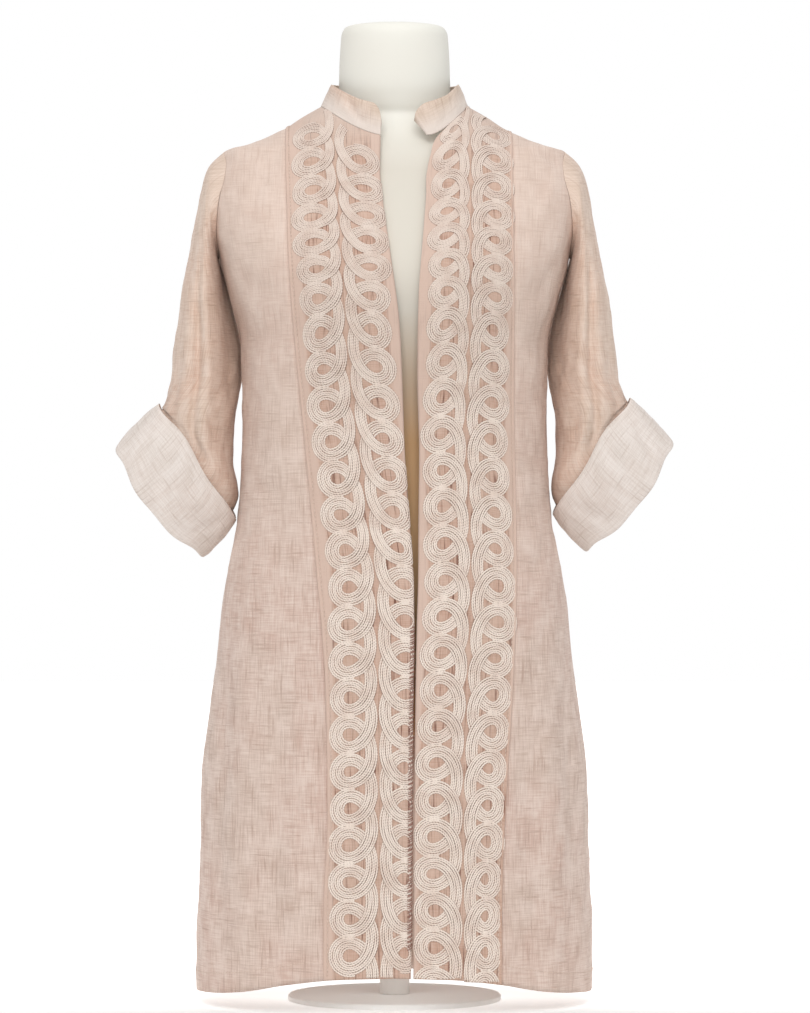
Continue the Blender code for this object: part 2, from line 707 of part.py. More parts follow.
def make_form():
    """Limbless dress form: hips to shoulders inside the jacket with some ease, then the neck."""
    rings = []
    for ease in FORM_EASE:
        z = ease["z"]
        level = z + FORM_LIFT
        half_width = min(smooth(BODY, "half_width", level) - ease["side"], FORM_MOST_HALF_WIDTH)
        front = smooth(BODY, "front", level) - ease["front_back"]
        back = smooth(BODY, "back", level) - ease["front_back"]
        rings.append(section_ring(z, half_width, front, back, ease["power"]))
    for neck in FORM_NECK:
        rings.append(section_ring(*neck))
    bottom = (0, 0, FORM_EASE["z"][0])
    add_stack("dress_form", np.array(rings), bottom, (0, 0, FORM_TOP_Z), "form")


def round_ring(radius, z):
    """A level circle."""
    angle = np.linspace(0, 2 * math.pi, ROUND_STEPS, endpoint=False)
    return np.stack([radius * np.cos(angle), radius * np.sin(angle), 0 * angle + z], axis=-1)


def make_stand():
    """Round base and the pole that carries the form."""
    shoulder = BASE_HEIGHT - BASE_EDGE
    base = [round_ring(BASE_RADIUS, 0), round_ring(BASE_RADIUS, shoulder)]
    base.append(round_ring(BASE_RADIUS - BASE_EDGE, BASE_HEIGHT))
    add_stack("stand_base", np.array(base), (0, 0, 0), (0, 0, BASE_HEIGHT), "stand")
    low = BASE_HEIGHT + SEAM
    high = FORM_EASE["z"][0] - SEAM
    pole = np.array([round_ring(POLE_RADIUS, low), round_ring(POLE_RADIUS, high)])
    add_stack("stand_pole", pole, (0, 0, low), (0, 0, high), "stand")


def main():
    for obj in list(bpy.data.objects):
        bpy.data.objects.remove(obj)
    make_form()
    make_stand()
    back = make_back()
    necklines = []
    for side, band, edge in (("right", RIGHT_BAND, 0), ("left", LEFT_BAND, -1)):
        necklines.append(make_band(f"band_{side}", band))
        front_edge = make_front(f"front_{side}", band)
        make_sleeve(side, front_edge, back[-ARMHOLE_STEPS - 1 :, edge])
        make_cuff(side)
    make_collar(necklines[0], back[-1], necklines[1])


main()
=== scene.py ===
"""Looks of the embroidered linen jacket on its dress form.

Metres, +Z up, the jacket faces -Y and the wearer's left is +X. Each cloth is a thin shell on the form of
its solid, with its creases; cords and stitches are half-round threads laid on the cloth.
"""

import math

import bpy
import numpy as np
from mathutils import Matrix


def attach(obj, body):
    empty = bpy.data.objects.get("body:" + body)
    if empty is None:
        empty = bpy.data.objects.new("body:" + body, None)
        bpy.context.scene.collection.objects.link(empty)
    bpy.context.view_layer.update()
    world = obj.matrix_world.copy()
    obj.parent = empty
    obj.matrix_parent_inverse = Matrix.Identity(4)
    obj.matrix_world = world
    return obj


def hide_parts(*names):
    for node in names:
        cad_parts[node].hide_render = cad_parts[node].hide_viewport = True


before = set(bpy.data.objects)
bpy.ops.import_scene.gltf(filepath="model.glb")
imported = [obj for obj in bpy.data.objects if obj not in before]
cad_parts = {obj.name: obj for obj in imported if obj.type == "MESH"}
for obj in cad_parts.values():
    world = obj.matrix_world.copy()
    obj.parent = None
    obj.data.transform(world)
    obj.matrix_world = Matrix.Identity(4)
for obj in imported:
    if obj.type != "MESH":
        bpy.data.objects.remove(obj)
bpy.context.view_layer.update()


def table(columns, *rows):
    """A table of numbers with a name for each column."""
    return np.array(list(rows), dtype=[(name, float) for name in columns.split()])


# Cloth
WALL = 0.0013
SEAM = 0.0003
BAND_LAP = 0.0024
UNDERARM_Z = 0.800
SHOULDER_TIP_Z = 0.915
ARMHOLE_HALF_DEPTH = 0.060
NECK_HALF_WIDTH = 0.080
NECK_FRONT_Z = 0.928
BACK_NECK_DROP = 0.006
NECKLINE_POWER = 1.5
FINE_STEPS = 500
SETTLE_ROUNDS = 12
HEM_DEPTH = 0.021
HEM_FOLD = 0.0006
HEM_EDGE = 0.002
SEAM_FADE = 0.014
TOP_FADE = 0.020
LAP_EASE = 0.0035
PANEL_ROWS_BELOW = 118
PANEL_ROWS_ARMHOLE = 46
FRONT_COLUMNS = 58
FRONT_COLUMN_POWER = 1.7
LAP_COLUMNS = 9
LAP_SHARE = 0.06
BACK_COLUMNS = 66
BACK_COLUMN_POWER = 1.6

# Outer sections of the body, hem to neck point
BODY = table(
    "z half_width front back power",
    (0.005, 0.2125, 0.158, 0.132, 2.4),
    (0.064, 0.2133, 0.157, 0.131, 2.4),
    (0.150, 0.2095, 0.154, 0.129, 2.4),
    (0.240, 0.2078, 0.149, 0.126, 2.4),
    (0.320, 0.1985, 0.142, 0.121, 2.4),
    (0.370, 0.1915, 0.138, 0.115, 2.4),
    (0.426, 0.1862, 0.133, 0.108, 2.4),
    (0.477, 0.1770, 0.129, 0.100, 2.4),
    (0.520, 0.1690, 0.127, 0.095, 2.4),
    (0.630, 0.1642, 0.131, 0.089, 2.4),
    (0.700, 0.1650, 0.143, 0.094, 2.4),
    (0.752, 0.1760, 0.150, 0.101, 2.5),
    (0.781, 0.1840, 0.148, 0.104, 2.7),
    (0.800, 0.1880, 0.143, 0.105, 2.8),
    (0.830, 0.1950, 0.130, 0.105, 2.9),
    (0.860, 0.1985, 0.113, 0.101, 2.9),
    (0.885, 0.1960, 0.097, 0.094, 2.7),
    (0.905, 0.1890, 0.084, 0.086, 2.5),
    (0.915, 0.1830, 0.077, 0.081, 2.4),
    (0.921, 0.1615, 0.073, 0.077, 2.3),
    (0.931, 0.1366, 0.067, 0.070, 2.2),
    (0.940, 0.1176, 0.062, 0.064, 2.2),
    (0.951, 0.1010, 0.057, 0.058, 2.2),
    (0.963, 0.0800, 0.052, 0.053, 2.2),
)
HEM = table(
    "x front back",
    (0.000, 0.038, 0.020),
    (0.060, 0.036, 0.019),
    (0.110, 0.030, 0.017),
    (0.160, 0.020, 0.014),
    (0.214, 0.013, 0.013),
)

# Front edge and outer edge of each embroidered band, then the line between its two columns of loops
RIGHT_BAND = table(
    "z front_edge outer_edge",
    (0.030, 0.0175, -0.0746),
    (0.120, 0.0178, -0.0740),
    (0.204, 0.0184, -0.0702),
    (0.329, 0.0196, -0.0722),
    (0.402, 0.0206, -0.0765),
    (0.450, 0.0202, -0.0812),
    (0.520, 0.0160, -0.0875),
    (0.590, 0.0112, -0.0940),
    (0.665, 0.0086, -0.1015),
    (0.717, 0.0062, -0.1062),
    (0.803, -0.0044, -0.1122),
    (0.856, -0.0118, -0.1142),
    (0.893, -0.0150, -0.1158),
    (0.945, -0.0143, -0.1176),
)
LEFT_BAND = table(
    "z front_edge outer_edge",
    (0.030, 0.0200, 0.1133),
    (0.120, 0.0204, 0.1137),
    (0.204, 0.0210, 0.1170),
    (0.329, 0.0222, 0.1248),
    (0.402, 0.0235, 0.1286),
    (0.460, 0.0252, 0.1300),
    (0.525, 0.0256, 0.1294),
    (0.590, 0.0262, 0.1280),
    (0.665, 0.0244, 0.1270),
    (0.750, 0.0248, 0.1272),
    (0.821, 0.0256, 0.1264),
    (0.894, 0.0262, 0.1262),
    (0.912, 0.0312, 0.1264),
    (0.945, 0.0380, 0.1266),
)
RIGHT_CENTRE = table(
    "z x",
    (0.036, -0.0153),
    (0.329, -0.0170),
    (0.442, -0.0192),
    (0.517, -0.0276),
    (0.599, -0.0381),
    (0.675, -0.0475),
    (0.788, -0.0548),
    (0.925, -0.0644),
)
LEFT_CENTRE = table(
    "z x",
    (0.036, 0.0721),
    (0.212, 0.0722),
    (0.342, 0.0765),
    (0.456, 0.0808),
    (0.535, 0.0787),
    (0.623, 0.0755),
    (0.694, 0.0786),
    (0.788, 0.0801),
    (0.894, 0.0809),
)

# Stand collar by its way round, right front end to left front end
COLLAR = table(
    "along height lean",
    (0.00, 0.034, 0.004),
    (0.22, 0.024, 0.0115),
    (0.50, 0.033, 0.005),
    (0.78, 0.024, 0.0110),
    (1.00, 0.034, 0.004),
)
COLLAR_CORNER = 0.012
COLLAR_CORNER_SHARE = 0.55
COLLAR_LEFT_SLANT = 0.012
COLLAR_SLANT_LENGTH = 0.035
COLLAR_COLUMNS = 190
COLLAR_ROWS = 26
COLLAR_EDGE = 0.0005
COLLAR_EDGE_INSET = 0.004
COLLAR_EDGE_WIDTH = 0.003
COLLAR_FOOT_FADE = 0.008
COLLAR_RIPPLE_TURN = 1.7
NECKLINE_POINTS = 60
BACK_NECK_POINTS = 80

# A sleeve below its armhole, its long folds and its turned-back cuff, on the wearer's left (x over 0)
SLEEVE = table(
    "x_out z_out x_in z_in half_depth y_mid tuck",
    (0.2000, 0.8990, 0.1908, 0.7985, 0.062, 0.000, 0.004),
    (0.2090, 0.8716, 0.1878, 0.7900, 0.065, 0.000, 0.018),
    (0.2144, 0.8420, 0.1838, 0.7760, 0.068, 0.000, 0.032),
    (0.2212, 0.8060, 0.1786, 0.7580, 0.070, -0.001, 0.043),
    (0.2295, 0.7646, 0.1726, 0.7370, 0.071, -0.002, 0.049),
    (0.2344, 0.7290, 0.1676, 0.7170, 0.070, -0.003, 0.050),
    (0.2390, 0.6930, 0.1650, 0.6980, 0.067, -0.004, 0.047),
    (0.2418, 0.6650, 0.1656, 0.6720, 0.063, -0.005, 0.037),
    (0.2455, 0.6500, 0.1705, 0.6430, 0.060, -0.006, 0.018),
    (0.2485, 0.6425, 0.1738, 0.6150, 0.056, -0.007, 0.010),
    (0.2508, 0.6390, 0.1742, 0.5800, 0.050, -0.008, 0.010),
    (0.2525, 0.6358, 0.1696, 0.5400, 0.043, -0.009, 0.006),
)
TUCK_POWER = 3
SLEEVE_GIRTH = 0.36
SLEEVE_ROWS = 128
SLEEVE_TOP_FADE = 0.020
SLEEVE_END_FADE = 0.045
RING_POINTS = 132
SLEEVE_RIPPLE_TURN = 90

# Long folds down the sleeve, by their place round it at their top and end
SLEEVE_FOLDS = table(
    "place end face width depth first last",
    (0.20, 0.14, -1, 0.09, 0.0060, 2, 8),
    (0.70, 0.50, -1, 0.07, 0.0105, 2, 12),
    (0.52, 0.30, -1, 0.07, -0.0035, 3, 12),
    (0.90, 0.84, -1, 0.06, 0.0030, 4, 11),
    (0.40, 0.40, 1, 0.11, 0.0045, 3, 10),
    (0.72, 0.66, 1, 0.09, 0.0040, 2, 9),
)
LEFT_SLEEVE_LIFT = 0.006
SLEEVE_LIFT_START_Z = 0.750
SLEEVE_LIFT_LENGTH = 0.12
CUFF = table(
    "x_out z_out x_in z_in half_depth y_mid tuck",
    (0.2570, 0.6420, 0.1708, 0.5170, 0.046, -0.009, 0.000),
    (0.2992, 0.5990, 0.2040, 0.4780, 0.042, -0.010, 0.000),
)
CUFF_TILT = 0.16
CUFF_SAG = 0.10
CUFF_SECTION = table(
    "along inset",
    (0.00, 0.0000),
    (0.30, -0.0020),
    (0.70, -0.0010),
    (0.95, 0.0005),
    (1.00, 0.0020),
    (0.98, 0.0034),
    (0.90, 0.0042),
    (0.80, 0.0045),
    (0.80, 0.0030),
    (0.93, 0.0024),
    (0.70, 0.0006),
    (0.30, -0.0005),
    (0.00, 0.0015),
)
CUFF_END = 0.795
CUFF_LIP_INSET = 0.0030
CUFF_MIDDLE = 0.45
CUFF_MIDDLE_INSET = 0.0065
CUFF_LENGTH = 0.057
CUFF_ROWS = 52
CUFF_OUTER_ROWS = 20
CUFF_CALM_FROM = 1.04
CUFF_CALM = 0.25
CUFF_LIP = 0.0015
CUFF_RIPPLE_TURN = 120

# Uneven edges of a cuff: waves in its free edge (0) and its fold (1), and a bump in its free edge
CUFF_WAVES = table(
    "edge height rate start",
    (0, 0.022, 5, 1.3),
    (1, 0.020, 4, 2.0),
    (1, 0.024, 7, 0.5),
)
CUFF_BUMP = 0.055
CUFF_BUMP_ANGLE = 1.9
CUFF_BUMP_WIDTH = 0.5

# Dress form: ease inside the body's sections, then the neck
FORM_LIFT = 0.0014
FORM_MOST_HALF_WIDTH = 0.171
FORM_TOP_Z = 1.0538
FORM_POINTS = 112
FORM_ROWS = 130
FORM_CAP_SHARE = 0.004
FORM_EASE = table(
    "z side front_back power",
    (0.290, 0.046, 0.036, 2.4),
    (0.302, 0.038, 0.030, 2.4),
    (0.360, 0.030, 0.026, 2.4),
    (0.430, 0.026, 0.024, 2.4),
    (0.520, 0.022, 0.022, 2.4),
    (0.630, 0.022, 0.022, 2.4),
    (0.700, 0.016, 0.016, 2.4),
    (0.760, 0.010, 0.010, 2.4),
    (0.800, 0.008, 0.008, 2.5),
    (0.840, 0.008, 0.008, 2.5),
    (0.875, 0.008, 0.009, 2.4),
    (0.900, 0.008, 0.011, 2.2),
    (0.912, 0.0085, 0.012, 2.0),
    (0.9195, 0.0030, 0.014, 1.7),
    (0.927, 0.0026, 0.016, 1.45),
    (0.936, 0.0026, 0.017, 1.4),
    (0.946, 0.0030, 0.017, 1.4),
    (0.955, 0.0085, 0.016, 1.6),
)
FORM_NECK = table(
    "z half_width front back power",
    (0.963, 0.0640, 0.0420, 0.0400, 1.9),
    (0.972, 0.0612, 0.0450, 0.0410, 2.0),
    (0.985, 0.0602, 0.0480, 0.0420, 2.1),
    (1.010, 0.0594, 0.0500, 0.0430, 2.1),
    (1.034, 0.0580, 0.0510, 0.0440, 2.1),
    (1.044, 0.0563, 0.0495, 0.0425, 2.1),
    (1.050, 0.0505, 0.0440, 0.0380, 2.1),
    (1.0528, 0.0330, 0.0290, 0.0250, 2.1),
)

# Loops of couched cord: a looped wave along the band, with six cords side by side
LOOP_PITCH = 0.0387
LOOP_HALF_WIDTH = 0.0186
CHEST_LOOP_EXTRA = 0.0026
LOOP_SWING = 0.0218
LOOP_MIDDLE = 0.023
BAND_MIDDLE = 0.1
CORDS = 6
CORD_SPACING = 0.00225
CORD_HALF_WIDTH = 0.00124
CORD_HEIGHT = 0.0010
CORD_TWIST = 0.0031
CORD_LIFT = 0.0012
CENTRE_GAP = 0.0006
CROSSING = 5.56
OVERLAP_TURN = 0.45
ROLL_RADIUS = 0.003
LOOP_REACH = 0.050
CLOSER_FROM = 0.715
CLOSER_TO = 0.860
CLOSER_SHARE = 0.22
CLOSER_EASE = 0.012
CHEST_FROM = 0.70
CHEST_EASE = 0.10
ROW_SLOPE = 0.35
CORD_END = 0.0015
CORD_TURNED_UNDER = 0.003
CORD_STEPS = 58
RUN_OUT = 0.25, 0.9
TURNED_RUN_OUT = 0.9, 0.1
CORD_WANDER = 0.00018
CORD_WANDER_RATE = 3.7
CORD_WANDER_SHIFT = 2.2
THREAD_TIP = 0.02
THREAD_SUNK = 0.25
RIM_STEPS = 30
RIM_HALF_TURN = 1.5

# Unevenness of the loops' swing and width. The start of a wave also changes with the column's side
UNEVEN = "share rate start by_side"
SWING_UNEVEN = table(UNEVEN, (0.030, 1.7, 0.0, 2.0), (0.020, 4.1, 0.0, 0.0))
WIDTH_UNEVEN = table(UNEVEN, (0.025, 2.1, 0.0, 1.0), (0.020, 5.3, 1.1, 0.0))

# Lattice of a band's cloth, and the fold along its outer edge
LATTICE_STEP = 0.001
LATTICE_FIRST = -64
LATTICE_LAST = 90
LATTICE_LOW_ROWS = 260
LATTICE_TOP_ROWS = 100
LATTICE_TOP_SHARE = 0.14
LATTICE_TOP_POWER = 1.5
LATTICE_INSIDE = 1.001
LEVEL_ROUNDS = 4
LEAST_RISE = 1e-4
BAND_COLUMNS = 141
TURNED_MARGIN = 0.007
TURNED_COLUMNS = 15
PLAIN_COLUMNS = 56
PLAIN_SHARE = 0.95
FOLD_COLUMNS = 9
EDGE_FOLD_HEIGHT = 0.0010
EDGE_FOLD_INSET = 0.0018
EDGE_FOLD_WIDTH = 0.0014

# Stitches along the bands and the hem, and those that slant over the right band's front edge
EDGE_STITCH, HEM_STITCH = table(
    "pitch share half_width height",
    (0.0046, 0.74, 0.00055, 0.0006),
    (0.0044, 0.70, 0.00050, 0.0005),
)
EDGE_STITCH_INSET = 0.0046
STITCH_LIFT = 0.0003
STITCH_STEPS = 5
STITCH_TAPER = 0.1
STITCH_SIDES = 3
WHIP_PITCH = 0.0024
WHIP_UNEVEN = 0.0006
WHIP_SLANT = 0.0042
WHIP_INSET = 0.0012
WHIP_REACH = 0.0085
WHIP_LIFT = 0.0011
WHIP_FIRST = 0.030
WHIP_LAST = 0.370
WHIP_COLUMN = -0.020
WHIP_STEPS = 8
WHIP_HALF_WIDTH = 0.0005
WHIP_HEIGHT = 0.0005
WHIP_UNEVEN_RATE = 9.1

# Columns of loops, outer (side 1) and front (-1): the lowest loop's middle above the hem, how many loops,
# and how much of the band's width is not theirs
LOOP_COLUMN = "side first loops spare"
RIGHT_COLUMNS = table(
    LOOP_COLUMN,
    (1, 0.0245, 25, 0.0166),
    (-1, 0.0270, 24, 0.0030),
)
LEFT_COLUMNS = table(
    LOOP_COLUMN,
    (1, -0.0070, 26, 0.0166),
    (-1, -0.0050, 26, 0.0150),
)

# Soft ridges (height over 0) and troughs on each panel, as lines seen from the front or the back
CREASE = "x0 z0 x1 z1 bow width height"
RIGHT_FRONT_CREASES = table(
    CREASE,
    (-0.171, 0.475, -0.187, 0.015, 0.005, 0.010, -0.0034),
    (-0.151, 0.430, -0.163, 0.010, 0.006, 0.016, 0.0024),
    (-0.122, 0.410, -0.131, 0.020, -0.005, 0.013, -0.0019),
    (-0.100, 0.300, -0.106, 0.020, 0.003, 0.012, 0.0015),
    (-0.163, 0.604, -0.119, 0.580, 0.003, 0.006, -0.0013),
    (-0.166, 0.556, -0.108, 0.541, -0.003, 0.007, -0.0015),
    (-0.170, 0.505, -0.121, 0.470, 0.004, 0.007, -0.0013),
    (-0.168, 0.660, -0.134, 0.634, 0.002, 0.006, -0.0010),
    (-0.174, 0.796, -0.126, 0.748, 0.005, 0.009, -0.0022),
    (-0.169, 0.752, -0.136, 0.690, 0.004, 0.010, -0.0017),
    (-0.133, 0.912, -0.152, 0.846, 0.003, 0.010, -0.0013),
)
LEFT_FRONT_CREASES = table(
    CREASE,
    (0.175, 0.468, 0.190, 0.020, -0.006, 0.010, -0.0032),
    (0.157, 0.390, 0.169, 0.010, -0.004, 0.014, 0.0021),
    (0.141, 0.340, 0.150, 0.015, 0.003, 0.011, -0.0015),
    (0.166, 0.590, 0.138, 0.571, 0.002, 0.006, -0.0013),
    (0.169, 0.538, 0.139, 0.528, -0.002, 0.006, -0.0012),
    (0.171, 0.490, 0.142, 0.455, 0.003, 0.008, -0.0014),
    (0.168, 0.651, 0.140, 0.640, 0.001, 0.005, -0.0009),
    (0.176, 0.802, 0.140, 0.741, -0.004, 0.009, -0.0021),
    (0.168, 0.742, 0.145, 0.684, -0.003, 0.009, -0.0014),
    (0.141, 0.908, 0.158, 0.852, -0.002, 0.010, -0.0012),
)
BACK_CREASES = table(
    CREASE,
    (-0.158, 0.480, -0.177, 0.015, 0.006, 0.013, -0.0036),
    (-0.104, 0.455, -0.121, 0.010, -0.005, 0.017, 0.0030),
    (-0.062, 0.400, -0.066, 0.015, 0.004, 0.014, -0.0026),
    (-0.018, 0.440, -0.010, 0.010, -0.003, 0.018, 0.0026),
    (0.043, 0.420, 0.055, 0.015, 0.005, 0.015, -0.0030),
    (0.088, 0.470, 0.104, 0.010, 0.003, 0.017, 0.0027),
    (0.131, 0.390, 0.146, 0.020, -0.004, 0.012, -0.0022),
    (0.166, 0.475, 0.183, 0.015, -0.005, 0.012, -0.0030),
    (-0.146, 0.575, -0.048, 0.560, 0.005, 0.008, -0.0018),
    (0.018, 0.592, 0.139, 0.566, -0.006, 0.008, -0.0020),
    (-0.108, 0.516, 0.012, 0.524, 0.004, 0.009, -0.0016),
    (0.050, 0.536, 0.150, 0.498, 0.003, 0.008, -0.0016),
    (-0.166, 0.845, -0.086, 0.796, 0.006, 0.010, -0.0021),
    (0.168, 0.836, 0.101, 0.772, -0.005, 0.010, -0.0023),
    (-0.060, 0.905, 0.048, 0.898, 0.004, 0.012, -0.0014),
)

# The same for a sleeve and a cuff: x is the way round from the inner edge over the front, z the way down
SLEEVE_CREASES = table(
    CREASE,
    (0.030, 0.020, 0.060, 0.105, 0.006, 0.008, -0.0022),
    (0.120, 0.010, 0.098, 0.120, -0.005, 0.010, 0.0017),
    (0.022, 0.185, 0.090, 0.142, 0.007, 0.008, -0.0021),
    (0.018, 0.232, 0.104, 0.196, -0.006, 0.007, -0.0018),
    (0.060, 0.262, 0.132, 0.204, 0.005, 0.008, 0.0016),
    (0.012, 0.150, 0.048, 0.120, 0.003, 0.006, -0.0014),
    (0.140, 0.080, 0.128, 0.190, 0.006, 0.009, -0.0018),
    (0.090, 0.060, 0.078, 0.150, -0.004, 0.007, 0.0014),
    (0.210, 0.040, 0.230, 0.170, 0.006, 0.012, -0.0024),
    (0.256, 0.090, 0.240, 0.220, -0.005, 0.010, 0.0019),
    (0.285, 0.130, 0.205, 0.186, 0.007, 0.008, -0.0021),
    (0.290, 0.196, 0.215, 0.230, -0.004, 0.008, -0.0017),
)
CUFF_CREASES = table(
    CREASE,
    (0.020, 0.004, 0.046, 0.050, 0.004, 0.007, -0.0016),
    (0.068, 0.000, 0.084, 0.036, -0.003, 0.008, 0.0013),
    (0.096, 0.052, 0.126, 0.010, 0.004, 0.007, -0.0013),
    (0.132, 0.046, 0.150, 0.004, -0.003, 0.006, -0.0017),
    (0.176, 0.004, 0.190, 0.050, 0.004, 0.009, -0.0016),
    (0.220, 0.050, 0.246, 0.008, 0.003, 0.008, 0.0014),
    (0.262, 0.006, 0.282, 0.048, -0.003, 0.008, -0.0015),
)
COLLAR_CREASES = table(
    CREASE,
    (0.014, 0.006, 0.052, 0.030, 0.003, 0.0045, -0.0011),
    (0.030, 0.002, 0.070, 0.022, -0.002, 0.0050, 0.0009),
    (0.120, 0.004, 0.150, 0.030, 0.003, 0.0060, -0.0010),
    (0.200, 0.030, 0.226, 0.006, -0.003, 0.0060, -0.0009),
    (0.292, 0.026, 0.330, 0.004, 0.003, 0.0050, -0.0011),
    (0.316, 0.028, 0.348, 0.008, -0.002, 0.0045, 0.0008),
)

# Slight unevenness of soft cloth: waves by their turns per metre across and up
RIPPLES = table(
    "across up phase height",
    (14.0, 5.0, 0.4, 0.00045),
    (-9.0, 17.0, 1.9, 0.00040),
    (31.0, -12.0, 4.1, 0.00025),
    (22.0, 36.0, 2.6, 0.00022),
    (-47.0, 23.0, 5.3, 0.00014),
    (58.0, 41.0, 0.9, 0.00010),
)


def smooth(sections, column, at):
    """A monotone cubic through one column of a table, over its first column."""
    x = sections[sections.dtype.names[0]]
    y = sections[column]
    step = np.diff(x)
    slope = np.diff(y) / step
    product = np.clip(slope[1:] * slope[:-1], 0, None)
    total = slope[1:] + slope[:-1]
    inner = 2 * product / np.where(total == 0, 1, total)
    tangent = np.concatenate([slope[:1], inner, slope[-1:]])
    at = np.clip(at, x[0], x[-1])
    i = np.clip(np.searchsorted(x, at) - 1, 0, len(step) - 1)
    t = (at - x[i]) / step[i]
    rise = y[i] * (1 + 2 * t) * (1 - t) ** 2 + y[i + 1] * t * t * (3 - 2 * t)
    return rise + step[i] * t * (1 - t) * (tangent[i] * (1 - t) - tangent[i + 1] * t)


def soft_step(t):
    """0 below 0, 1 above 1, and a smooth rise between them."""
    t = np.clip(t, 0, 1)
    return t * t * (3 - 2 * t)


def through(rows, at):
    """A smooth curve through an array's first axis, at fractional places along it."""
    i = np.clip(np.floor(at).astype(int), 0, len(rows) - 2)
    t = (at - i).reshape((-1,) + (1,) * (rows.ndim - 1))
    a, b, c, d = (rows[np.clip(i + k, 0, len(rows) - 1)] for k in (-1, 0, 1, 2))
    return b + 0.5 * t * (c - a + t * (2 * a - 5 * b + 4 * c - d + t * (3 * (b - c) + d - a)))


def unit(vectors):
    """Vectors of length 1."""
    return vectors / np.maximum(np.linalg.norm(vectors, axis=-1, keepdims=True), 1e-12)


def lengths(points, axis):
    """Distance along a grid's columns (axis 0) or rows (axis 1), from 0."""
    step = np.linalg.norm(np.diff(points, axis=axis), axis=-1)
    return np.concatenate([0 * np.take(step, [0], axis), np.cumsum(step, axis)], axis)


def normals(points):
    """Unit normals of a grid of points, along the cross product of its two directions."""
    return unit(np.cross(np.gradient(points, axis=1), np.gradient(points, axis=0)))


def creases(x, z, rows):
    """Sum of soft lines: a bell curve across each bowed line, which fades to nothing at its ends."""
    total = 0 * x
    for row in rows:
        way = np.array([row["x1"] - row["x0"], row["z1"] - row["z0"]])
        length = np.hypot(*way)
        way = way / length
        along = ((x - row["x0"]) * way[0] + (z - row["z0"]) * way[1]) / length
        swell = np.sin(math.pi * np.clip(along, 0, 1))
        off = (x - row["x0"]) * way[1] - (z - row["z0"]) * way[0] - row["bow"] * swell
        total = total + row["height"] * swell * np.exp(-((off / row["width"]) ** 2))
    return total


def ripple(u, v, turn):
    """Sum of a few slanting sine waves over the cloth, which turn shifts from piece to piece."""
    total = 0 * u
    for row in RIPPLES:
        total = total + row["height"] * np.sin(
            2 * math.pi * (row["across"] * u + row["up"] * v) + row["phase"] + turn * row["up"]
        )
    return total


# The body's surface and its panels


def depth(x, z, face):
    """How far the cloth stands before or behind the side seams' plane: a rounded section at each height."""
    half = smooth(BODY, "half_width", z)
    power = smooth(BODY, "power", z)
    inside = np.clip(1 - (np.abs(x) / half) ** power, 0, None)
    return smooth(BODY, face, z) * inside ** (1 / power)


def shoulder_z(x):
    """Height of the shoulder line, which is where the sections' width runs out."""
    z = np.linspace(SHOULDER_TIP_Z, BODY["z"][-1], FINE_STEPS)
    return np.interp(np.abs(x), smooth(BODY, "half_width", z)[::-1], z[::-1])


def side_x(z, face):
    """Half width along the side seam, then along the armhole's edge up to the shoulder tip."""
    z = np.minimum(z, SHOULDER_TIP_Z)
    middle = (SHOULDER_TIP_Z + UNDERARM_Z) / 2
    half_height = (SHOULDER_TIP_Z - UNDERARM_Z) / 2
    reach = np.clip(1 - ((z - middle) / half_height) ** 2, 0, None) ** 0.5
    power = smooth(BODY, "power", z)
    share = ARMHOLE_HALF_DEPTH * reach / smooth(BODY, face, z)
    return smooth(BODY, "half_width", z) * (1 - share**power) ** (1 / power)


def front_top_z(x, band):
    """Height of a front's top edge: the neckline, then the shoulder line."""
    start = abs(band["front_edge"][-1])
    t = np.clip((np.abs(x) - start) / (NECK_HALF_WIDTH - start), 0, 1)
    neckline = NECK_FRONT_Z + (BODY["z"][-1] - NECK_FRONT_Z) * t**NECKLINE_POWER
    return np.where(np.abs(x) < NECK_HALF_WIDTH, neckline, shoulder_z(x))


def back_top_z(x):
    """Height of the back's top edge: the neckline, then the shoulder line."""
    dip = BACK_NECK_DROP * (1 - (np.clip(np.abs(x), 0, NECK_HALF_WIDTH) / NECK_HALF_WIDTH) ** 2)
    return np.where(np.abs(x) < NECK_HALF_WIDTH, BODY["z"][-1] - dip, shoulder_z(x))


def settle(x_of_z, z_of_x, start):
    """Where a column that leans with height meets a line across it."""
    z = start
    for _ in range(SETTLE_ROUNDS):
        z = z_of_x(x_of_z(z))
    return z


def panel(across, up, x_between, top_z, face):
    """Points at places across a panel and up it from its hem to its top edge, on the body's surface."""
    sign = -1 if face == "front" else 1

    def x_at(z):
        return x_between(across, z)

    hem = settle(x_at, lambda x: smooth(HEM, face, np.abs(x)), 0 * across + HEM[face][0])
    top = settle(x_at, top_z, 0 * across + NECK_FRONT_Z)
    z = hem + up * (top - hem)
    x = x_at(z)
    return np.stack([x, sign * (depth(x, z, face) + SEAM / 2), z], axis=-1)


def band_points(across, up, band):
    """Points of the cloth under a band, from its front edge (0) to its outer edge (1)."""

    def between(share, z):
        return (1 - share) * smooth(band, "front_edge", z) + share * smooth(band, "outer_edge", z)

    return panel(across, up, between, lambda x: front_top_z(x, band), "front")


def front_points(across, up, band):
    """Points of a plain front, from just under the band's outer edge to the side seam and armhole."""
    sign = np.sign(band["outer_edge"][0])

    def start(z):
        return smooth(band, "outer_edge", z) - sign * BAND_LAP

    def between(share, z):
        return (1 - share) * start(z) + share * sign * side_x(z, "front")

    points = panel(across, up, between, shoulder_z, "front")
    past = np.abs(points[..., 0] - start(points[..., 2])) - BAND_LAP
    points[..., 1] += (WALL + SEAM) * (1 - soft_step(past / LAP_EASE))
    return points


def back_points(across, up):
    """Points of the back, from -1 at the right side to 1 at the left."""

    def between(share, z):
        return share * side_x(z, "back")

    return panel(across, up, between, back_top_z, "back")


